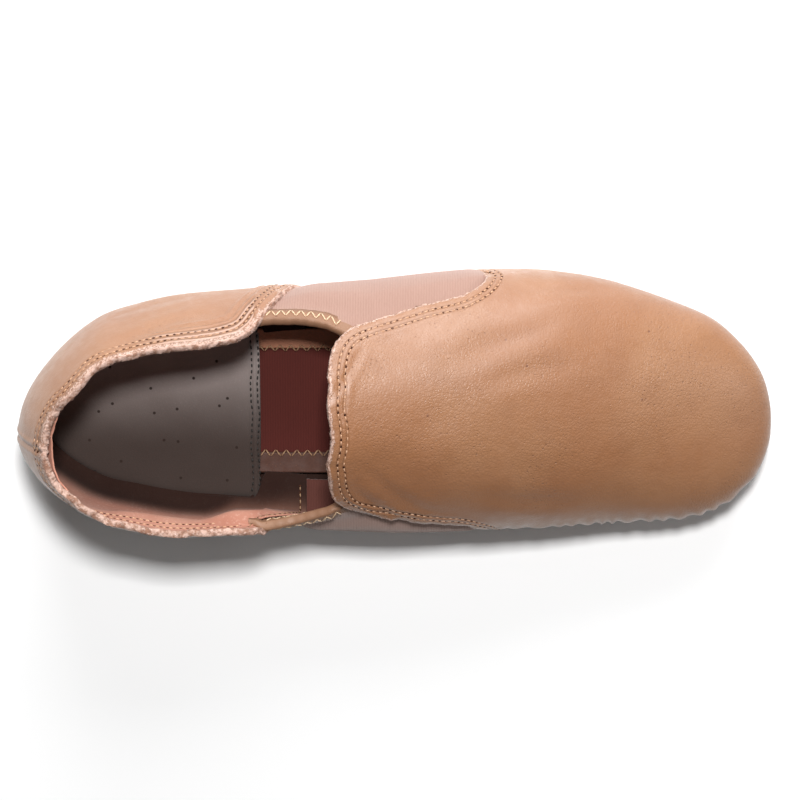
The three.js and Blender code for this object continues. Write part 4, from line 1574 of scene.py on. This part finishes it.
@dataclass
class Seams:
    """The two rows of stitches along the collar, the wings and the tongue."""

    skin: Skin
    finishes: Finishes
    place: Place
    pitch: float = 2.2
    rows: tuple = SEAM_ROWS
    inner_rows: tuple = (5.6, 8.8)
    quarter_end: float = 78.0
    lining_depth: float = 1.58
    radius: float = 0.25

    def offset(self, inset: float) -> tuple[Array, Array]:
        """Stations and girth angles of a line at an even distance inside the leather's edge.

        The line's points move along the skin, away from the opening, by a small solve of the skin's two
        slopes.

        Args:
            inset: distance from the edge.

        Returns:
            A station and an angle for each point of the edge.
        """
        last, cut = self.skin.last, self.skin.collar
        station, angle, goal = cut.station.copy(), cut.angle.copy(), cut.points
        normal = last.normal(station, angle)
        along = unit(np.roll(goal, -3, axis=0) - np.roll(goal, 3, axis=0))
        away = np.cross(normal, along)
        for share in (0.34, 0.67, 1.0):
            target = goal + away * inset * share
            for _ in range(3):
                here = last.point(station, angle)
                ds = (last.point(station + 0.05, angle) - here) / 0.05
                da = (last.point(station, angle + 1e-3) - here) / 1e-3
                miss = target - here
                g11, g12, g22 = (ds * ds).sum(1), (ds * da).sum(1), (da * da).sum(1)
                b1, b2 = (ds * miss).sum(1), (da * miss).sum(1)
                det = np.maximum(g11 * g22 - g12 * g12, 1e-9)
                station = np.clip(station + (g22 * b1 - g12 * b2) / det, 0.4, last.sizes.length - 0.4)
                angle = angle + (g11 * b2 - g12 * b1) / det
        return station, angle

    def row(self, inset: float, end: float) -> tuple[Array, Array]:
        """A row of stitches at an even distance inside the leather's edge, up to a station.

        Points that come nearer to another stretch of the edge are dropped, and what is left is taken at the
        stitch's pitch.

        Args:
            inset: distance from the edge.
            end: the last station that the row reaches.

        Returns:
            Points and normals.
        """
        last, cut = self.skin.last, self.skin.collar
        station, angle = self.offset(inset)
        _, far = cut.nearest(last.point(station, angle))
        keep = (far > 0.96 * inset) & (station < end)
        station, angle, run = station[keep], angle[keep], cut.run[keep]
        path = last.point(station, angle)
        _, (station, angle, run) = resample(path, [station, angle, run], self.pitch)
        _, far = cut.nearest(last.point(station, angle))
        near = np.abs(far - inset) < 0.6
        station, angle, run = station[near], angle[near], run[near]
        points = self.skin.at(station, angle, np.full(len(station), inset), run)
        return points, last.normal(station, angle)

    def sewn(self, points: Array, normal: Array) -> tuple[Patch, Patch]:
        """Threads from hole to hole along a row, and the holes."""
        start, end = points[:-1], points[1:]
        shown = np.linalg.norm(end - start, axis=1) < 1.6 * self.pitch
        lean = unit((normal[:-1] + normal[1:])[shown])
        start, end = start[shown], end[shown]
        gap = 0.17 * (end - start)
        made = threads(start + gap, end - gap, lean, self.radius, 0.07)
        return made, punctures(points, normal, np.gradient(points, axis=0), 0.4)

    def build(self) -> list:
        """Makes the threads and their holes, outside and on the lining."""
        made = []
        outside = ("collar", math.inf, self.rows, 1)
        inside = ("lining", self.quarter_end, self.inner_rows, -1)
        for name, end, rows, facing in (outside, inside):
            sewn = []
            for inset in rows:
                points, normal = self.row(inset, end)
                if facing < 0:
                    points = points - (self.lining_depth + 0.8 * bell(inset, 0, 3.0)) * normal
                sewn.append(self.sewn(points, facing * normal))
            stitches, holes = (reduce(Patch.joined, patches) for patches in zip(*sewn))
            thread = make_mesh(f"{name}_stitches", stitches, self.place, [self.finishes.thread])
            dark = make_mesh(f"{name}_needle_holes", holes, self.place, [self.finishes.hole])
            made += [attach(thread, "tan_leather"), attach(dark, "tan_leather")]
        return made


@dataclass
class Lining:
    """The lining's free edges: a flap over each gore's back end, and the strip that stands off the heel."""

    seams: Seams
    finishes: Finishes
    place: Place
    front: float = 92.6
    back: float = 58.0
    heel_middle: float = -5.5

    def sheet(self, name: str, outer: Array, inner: Array, flip: bool) -> Object:
        """A closed sheet of lining over two grids of points."""
        obj = make_mesh(name, sheet(outer, inner, flip, 0.4), self.place, [self.finishes.lining])
        return attach(obj, "tan_leather")

    def front_edge(self, t: Array) -> Array:
        """Where the flap ends, from its foot to its top: leaning back, then round its top corner."""
        return self.front - 2.2 * t**1.6 - 17.0 * np.maximum((t - 0.35) / 0.65, 0) ** 2.3

    def flap(self, side: Side) -> list:
        """The lining's front edge inside one side, with the row that is sewn along it.

        The sheet comes out of the quarter, passes over the gore's back end and reaches down to the underside.
        At its back and at its top it lies close to the quarter.
        """
        skin = self.seams.skin
        last = skin.last
        s = last.sizes
        rim = last.line(RIM, s.instep_height, 16)
        top = last.line(TOPLINE, s.quarter_height, 24)
        t = np.linspace(0, 1, 48)[None, :]
        u = np.linspace(0, 1, 60)[:, None]
        x = self.back + (self.front_edge(t) - self.back) * u
        gored = smooth_step(75, 80, x)
        low = last.seat(x) + 4.0 - 2.8 * gored
        under_rim = np.interp(x, rim[:, 0], rim[:, 1], left=rim[0, 1]) - 0.9
        high = under_rim * gored + (np.interp(x, top[:, 0], top[:, 1]) - 3.0) * (1 - gored)
        z = low + (high - low) * t
        station, angle = last.on_side(x, z, side)
        over = smooth_step(self.back, self.back + 13, x)
        full = s.wall + s.clearance + s.elastic + 0.45
        rise = smooth_step(0.70, 0.95, t)
        depth = 0.7 + (full - 0.7) * over + rise * (0.5 * gored - (full - 0.9) * over * (1 - gored))
        depth = depth + 0.22 * waves(x * 0.5 + z, 52, 16.0) * over
        facing = skin.beneath(station, angle, depth + 0.7)
        hidden = skin.beneath(station, angle, depth)
        flap = self.sheet(f"lining_flap_{side.name.lower()}", facing, hidden, side is Side.LATERAL)
        row = resample(facing[-4][1:], [], self.seams.pitch)[0]
        middle = last.point(np.array(80.0), np.array(BOTTOM)) + np.array([0.0, 0.0, 20.0])
        inward = unit(np.stack([0 * row[:, 0], middle[1] - row[:, 1], middle[2] - row[:, 2]], -1))
        thread, holes = self.seams.sewn(row + 0.05 * inward, inward)
        both, materials = thread.joined(holes.coloured(1)), [self.finishes.dull, self.finishes.hole]
        rows = make_mesh(f"lining_flap_{side.name.lower()}_stitches", both, self.place, materials)
        return [flap, attach(rows, "tan_leather")]

    def heel_strip(self) -> Object:
        """The lining's edge at the back of the heel, which has come away and leaves a dark slot."""
        last, cut = self.seams.skin.last, self.seams.skin.collar
        half = len(cut.station) // 2
        near = np.roll(cut.points[:, 0] < 24, half)
        insets = np.array([0.1, 0.6, 1.4, 3.0, 5.0, 8.0, 12.0])
        facing, hidden = [], []
        for inset in insets:
            station, angle = self.seams.offset(inset)
            station, angle = np.roll(station, half)[near], np.roll(angle, half)[near]
            base = last.point(station, angle)
            apart = bell(base[:, 1], self.heel_middle, 7.5) * bell(inset, 0, 8.0)
            sink = smooth_step(11, 17, np.abs(base[:, 1] - self.heel_middle))
            depth = 2.45 + 1.25 * apart - 1.3 * sink + 0.15 * waves(base[:, 1], 53, 9.0)
            facing.append(last.beneath(station, angle, depth + 0.4))
            hidden.append(last.beneath(station, angle, depth))
        return self.sheet("lining_heel_strip", np.stack(facing, 1)[::3], np.stack(hidden, 1)[::3], True)

    def build(self) -> list:
        """Makes the flaps and the heel strip."""
        return [*self.flap(Side.LATERAL), *self.flap(Side.MEDIAL), self.heel_strip()]


@dataclass
class Fuzz:
    """Loose fibres along the raw edge of the leather."""

    seams: Seams
    finishes: Finishes
    place: Place
    count: int = 9000
    length: float = 0.62
    radius: float = 0.055

    def build(self) -> Object:
        """Makes the fibres: short three-sided hairs that lean every way out of the edge."""
        skin = self.seams.skin
        last, cut = skin.last, skin.collar
        draw = np.random.default_rng(77)
        pick = draw.integers(0, len(cut.station), self.count)
        station, angle = cut.station[pick], cut.angle[pick]
        normal = last.normal(station, angle)
        quarter = (station < 80)[:, None]
        share = draw.uniform(0.0, 1.0, (self.count, 1))
        thick = np.where(quarter, QUARTER_EDGE, VAMP_EDGE)
        along = unit(np.roll(cut.points, -1, axis=0) - np.roll(cut.points, 1, axis=0))[pick]
        away = np.cross(along, normal)
        root = skin.at(station, angle, np.zeros(self.count), cut.run[pick]) - normal * share * thick
        root = root + away * 0.22 * thick * np.sin(np.pi * share)
        lean = unit(away + draw.normal(0, 0.75, (self.count, 3)))
        reach = self.length * draw.uniform(0.4, 1.3, (self.count, 1)) * np.where(quarter, 1.0, 0.55)
        tip = root + lean * reach
        side = unit(np.cross(lean, draw.normal(0, 1, (self.count, 3))))
        other = np.cross(lean, side)
        turn = TURN * np.arange(3) / 3
        ring = np.cos(turn)[:, None] * side[:, None] + np.sin(turn)[:, None] * other[:, None]
        verts = np.concatenate([root[:, None] + ring * self.radius, tip[:, None]], 1)
        shift = (np.arange(self.count) * 4)[:, None, None]
        tris = np.array([[0, 1, 3], [1, 2, 3], [2, 0, 3], [2, 1, 0]])[None] + shift
        patch = Patch(verts.reshape(-1, 3), tris=tris.reshape(-1, 3))
        return attach(make_mesh("edge_fibres", patch, self.place, [self.finishes.raw]), "tan_leather")


@dataclass
class Underfoot:
    """What lies flat under the foot: arch elastic, heel pad, and the two soles."""

    last: Last
    finishes: Finishes
    place: Place

    @property
    def sewn_at(self) -> tuple:
        """Where the two rows cross the heel pad."""
        return self.last.sizes.pad_end - 4.0, self.last.sizes.pad_end - 1.8

    def outline(self, inset: float, x: Array) -> tuple[Array, Array]:
        """The lateral and medial edges of the last's outline from above, moved in by an inset.

        The outline is moved along its own normal, and read again at the places asked for.
        """
        length = self.last.sizes.length
        fine = length * (1 - np.cos(np.linspace(0, math.pi, 1200))) / 2
        s = self.last.section(fine)
        edges = []
        for sign, half in ((1, s["lateral"]), (-1, s["medial"])):
            y = s["centre"] + sign * half
            dx, dy = np.gradient(fine), np.gradient(y)
            size = np.hypot(dx, dy)
            inner_x, inner_y = fine + sign * inset * dy / size, y - sign * inset * dx / size
            order = np.argsort(inner_x)
            edges.append(np.interp(x, inner_x[order], inner_y[order]))
        return edges[0], edges[1]

    def ladder(self, inset: float, start: float, end: float, bows: tuple, count: int, rungs: int) -> Array:
        """A grid in the plan view between the outline's two edges.

        Stations gather towards the ends. Across, the rungs gather towards the edges, and near a cut end they
        bow forwards or back.

        Args:
            inset: how far the edges lie inside the last's outline.
            start: first station, or the inset at a round heel.
            end: last station, or the length less the inset at a round toe.
            bows: how far the first and the last rung bow forwards.
            count: how many stations.
            rungs: how many points across.

        Returns:
            A table of x and y.
        """
        t = (1 - np.cos(np.linspace(0, math.pi, count))) / 2
        x = start + (end - start) * t
        lateral, medial = self.outline(inset, x)
        tip_low, tip_high = start <= inset, end >= self.last.sizes.length - inset
        middle = (lateral + medial) / 2
        lateral[0], medial[0] = (middle[0], middle[0]) if tip_low else (lateral[0], medial[0])
        lateral[-1], medial[-1] = (middle[-1], middle[-1]) if tip_high else (lateral[-1], medial[-1])
        across = np.sin(np.linspace(-TOP, TOP, rungs))
        half, centre = (lateral - medial) / 2, (lateral + medial) / 2
        y = centre[:, None] + half[:, None] * across
        bowed = (1 - t)[:, None] ** 3 * bows[0] + t[:, None] ** 3 * bows[1]
        xs = x[:, None] + bowed * (1 - across**2)
        return np.stack([xs, y], -1)

    def slab(self, plan: Array, low: Array, high: Array, rim: float) -> Patch:
        """A closed slab over a plan grid between two heights, with a rounded rim."""
        rows, columns = plan.shape[:2]
        top = np.concatenate([plan, high[..., None]], -1).reshape(-1, 3)
        base = np.concatenate([plan, low[..., None]], -1).reshape(-1, 3)
        quads = grid_faces(rows, columns)[:, ::-1]
        return shell(Patch(top, quads), base, 0, 0, rim).welded()

    def arch_panel(self) -> list:
        """The elastic under the arch, the tapes beside it and their zigzags."""
        s, last = self.last.sizes, self.last
        centre = float(last.section(np.array((s.arch_start + s.arch_end) / 2))["centre"])
        x = np.linspace(s.arch_start - s.tuck, s.arch_end + s.tuck, 90)
        y = centre + np.linspace(-s.arch_half_width - s.tuck, s.arch_half_width + s.tuck, 64)
        xs, ys = np.meshgrid(x, y, indexing="ij")
        station, angle = last.underside(xs, ys)
        depth = s.wall + s.clearance
        outer = last.beneath(station, angle, depth)
        patch = sheet(outer, last.beneath(station, angle, depth + s.elastic), True, 0.3)
        panel = make_mesh("arch_elastic_panel", patch, self.place, [self.finishes.arch])
        attach(panel, "arch_elastic", "arch_panel")
        tapes = [self.tape(centre + side.value * s.arch_half_width, x, side) for side in Side]
        return [panel, *tapes]

    def tape(self, edge: float, x: Array, side: Side) -> Object:
        """A leather tape along one side of the arch elastic, on its inner face, with a zigzag at its edge.

        Args:
            edge: where the arch opening's edge lies across the shoe.
            x: places along the shoe.
            side: the side of the shoe.

        Returns:
            The tape with its zigzag.
        """
        s, last, out = self.last.sizes, self.last, side.value
        start, width = edge - out * 0.8, 7.2
        ys = start + out * width * np.linspace(0, 1, 12)[None, :] + 0.0 * x[:, None]
        station, angle = last.underside(np.broadcast_to(x[:, None], ys.shape), ys)
        base = s.wall + s.clearance + s.elastic + 0.1
        outer, inner = (last.beneath(station, angle, depth) for depth in (base + 0.5, base))
        patch = sheet(outer, inner, side is Side.MEDIAL, 0.4)
        tips = np.arange(x[0], x[-1], 1.7)
        zig = np.where(np.arange(len(tips)) % 2 == 0, start - out * 0.9, start + out * 1.5)
        station, angle = last.underside(tips, zig)
        points = last.beneath(station, angle, base + 0.62)
        normal = -last.normal(station, angle)
        zigzag = threads(points[:-1], points[1:], normal[:-1], 0.24, 0.08)
        # Painted light and shade: the lateral tape takes the lit copy, the medial tape the shaded copy
        leather = self.finishes.tape if side is Side.LATERAL else self.finishes.shaded_tape
        both, materials = patch.joined(zigzag.coloured(1)), [leather, self.finishes.dull]
        obj = make_mesh(f"arch_tape_{side.name.lower()}", both, self.place, materials)
        return attach(obj, "binding_leather")

    def heel_pad(self) -> list:
        """The heel sock with its rolled front edge, and the two rows sewn across it."""
        s, last = self.last.sizes, self.last
        plan = self.ladder(s.pad_inset, s.pad_inset, s.pad_end - s.pad_roll, (0, 0), 110, 90)
        x, y = plan[..., 0], plan[..., 1]
        station, angle = last.underside(x, y)
        over_arch = smooth_step(s.arch_start - s.tuck - 2, s.arch_start - s.tuck - 0.5, x)
        depth = s.wall + s.clearance + (s.elastic + s.clearance) * over_arch
        floor = last.beneath(station, angle, depth)[..., 2]
        lateral, medial = y.max(1, keepdims=True), y.min(1, keepdims=True)
        rim = np.minimum(lateral - y, y - medial)
        lift = s.wall + s.clearance + s.pad
        high = last.seat(x) + lift - 0.9 * np.exp(-rim / 1.1)
        high += 0.12 * waves(x + 0.4 * y, 31, 26.0) * waves(y, 32, 22.0)
        for sewn in self.sewn_at:
            high -= 0.55 * bell(x, sewn, 0.55)
        low = np.minimum(floor, high - 0.3)
        patch = self.slab(plan, low, high, 0.35)
        pad = make_mesh("heel_sock", patch, self.place, [self.finishes.pad])
        attach(pad, "pad_suede", "heel_pad")
        return [pad, self.pad_rows(lift)]

    def pad_rows(self, lift: float) -> Object:
        """Two rows of dark stitches across the heel pad near its front edge."""
        rows = []
        for sewn in self.sewn_at:
            lateral, medial = self.outline(self.last.sizes.pad_inset, np.array([sewn]))
            y = np.arange(float(medial[0]) + 2, float(lateral[0]) - 2, 2.0)
            x = sewn + 0.25 * waves(y, 41, 12.0)
            z = self.last.seat(x) + lift - 0.42
            points = np.stack([x, y, z], -1)
            up = np.broadcast_to([0.0, 0.0, 1.0], points[1:].shape)
            gap = 0.15 * (points[1:] - points[:-1])
            rows.append(threads(points[:-1] + gap, points[1:] - gap, up, 0.3, 0.15))
        both = reduce(Patch.joined, rows)
        return attach(make_mesh("heel_sock_stitches", both, self.place, [self.finishes.black]), "pad_suede")

    def heel_block(self) -> Object:
        """The heel: flat below with a rounded edge, and hollowed to the leather above."""
        s, last = self.last.sizes, self.last
        inset, bows = s.heel_block_inset, (0, -s.heel_block_bow)
        plan = self.ladder(inset, inset, s.heel_block_end, bows, 90, 80)
        station, angle = last.underside(plan[..., 0], plan[..., 1])
        high = last.beneath(station, angle, -s.clearance)[..., 2]
        patch = self.slab(plan, np.zeros(high.shape), high, 0.04)
        obj = make_mesh("heel_rubber", patch, self.place, [self.finishes.rubber])
        return attach(obj, "sole_rubber", "heel_sole")

    def forefoot_patch(self) -> Object:
        """The forefoot sole, which follows the leather and is ground flat where it stands."""
        s, last = self.last.sizes, self.last
        plan = self.ladder(s.sole_inset, s.sole_start, s.length - s.sole_inset, (-s.sole_bow, 0), 130, 90)
        station, angle = last.underside(plan[..., 0], plan[..., 1])
        high = last.beneath(station, angle, -s.clearance)[..., 2]
        patch = self.slab(plan, np.maximum(high - s.sole - s.sole_ground, 0), high, 0.2)
        obj = make_mesh("forefoot_rubber", patch, self.place, [self.finishes.rubber])
        return attach(obj, "sole_rubber", "forefoot_sole")

    def build(self) -> list:
        """Makes every piece underfoot."""
        return [*self.arch_panel(), *self.heel_pad(), self.heel_block(), self.forefoot_patch()]


@dataclass
class Studio:
    """Pale floor, soft lights and the camera over the shoe."""

    place: Place
    lean: float = 13.0
    distance: float = 900.0
    middle: tuple = (122.5, 0.0, 25.0)
    pixels_per_mm: float = 3.07
    image: float = 800.0
    sensor: float = 36.0
    seen_at: tuple = (396.0, 412.0)
    surround: float = 0.11

    def floor(self) -> None:
        """A wide pale floor."""
        side = 3.0
        corners = [(-side, -side, 0), (side, -side, 0), (side, side, 0), (-side, side, 0)]
        mesh = bpy.data.meshes.new("floor")
        mesh.from_pydata(corners, [], [(0, 1, 2, 3)])
        g = Graph("floor_white")
        g.set("Base Color", g.mix(g.noise(3.0).ramp(0.3, 0.7), (0.93, 0.93, 0.93), (0.95, 0.95, 0.95)))
        g.set("Roughness", 0.12)
        g.set("Specular IOR Level", 0.5)
        mesh.materials.append(g.material)
        obj = bpy.data.objects.new("floor", mesh)
        bpy.context.scene.collection.objects.link(obj)

    def lamp(self, name: str, at: tuple, size: float, power: float) -> None:
        """A soft square light that faces the shoe."""
        data = bpy.data.lights.new(name, "AREA")
        data.energy, data.size = power, size
        obj = bpy.data.objects.new(name, data)
        bpy.context.scene.collection.objects.link(obj)
        aim = np.array([0.0, 0.0, 0.03]) - np.array(at)
        obj.location = at
        obj.rotation_euler = Vector(aim).to_track_quat("-Z", "Y").to_euler()

    def lights(self) -> None:
        """A key and a low soft box on the lateral side, a small light at the toe and a dim surround."""
        self.lamp("main", (0.02, 0.50, 1.10), 0.16, 15.0)
        self.lamp("far_box", (0.05, 0.98, 0.40), 0.70, 12.5)
        self.lamp("toe_box", (0.95, 0.10, 0.55), 0.35, 1.5)
        world = bpy.data.worlds.new("surround")
        world.use_nodes = True
        background = world.node_tree.nodes["Background"]
        background.inputs[0].default_value = (1.0, 1.0, 1.0, 1.0)
        background.inputs[1].default_value = self.surround
        bpy.context.scene.world = world

    def camera(self) -> None:
        """The camera, nearly overhead and leaned towards the lateral side, with the toe to the right."""
        data = bpy.data.cameras.new("camera")
        data.lens = self.sensor * self.pixels_per_mm * self.distance / self.image
        data.sensor_width = self.sensor
        data.shift_x = (self.image / 2 - self.seen_at[0]) / self.image
        data.shift_y = (self.seen_at[1] - self.image / 2) / self.image
        obj = bpy.data.objects.new("camera", data)
        bpy.context.scene.collection.objects.link(obj)
        a = math.radians(self.lean)
        middle = self.place.metres(np.array(self.middle))
        obj.location = middle + self.distance * MM * np.array([0, math.sin(a), math.cos(a)])
        obj.rotation_euler = (-a, 0, 0)
        data.clip_start, data.clip_end = 0.05, 20.0
        bpy.context.scene.camera = obj

    def build(self) -> None:
        """Sets the stage."""
        self.floor()
        self.lights()
        self.camera()
        view = bpy.context.scene.view_settings
        view.view_transform = "Standard"
        view.exposure = 0.0


def main() -> None:
    """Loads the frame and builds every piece."""
    logging.basicConfig(level=logging.INFO, format="%(message)s")
    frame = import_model()
    last = Last()
    place = Place.of(last)
    finishes = Finishes()
    collar, arch = collar_cut(last), arch_cut(last)
    skin = Skin(last, collar)
    Upper(skin, arch, finishes, place).build()
    for side in Side:
        Gore(skin, side, finishes, place).build()
    seams = Seams(skin, finishes, place)
    seams.build()
    Lining(seams, finishes, place).build()
    Fuzz(seams, finishes, place).build()
    Underfoot(last, finishes, place).build()
    # The insole takes the lining material, whose painted shade turns it nearly black low in the shoe
    insole = frame["nodes"]["forefoot_insole"]
    insole.data.materials.clear()
    insole.data.materials.append(finishes.lining)
    Studio(place).build()


if __name__ == "__main__":
    main()
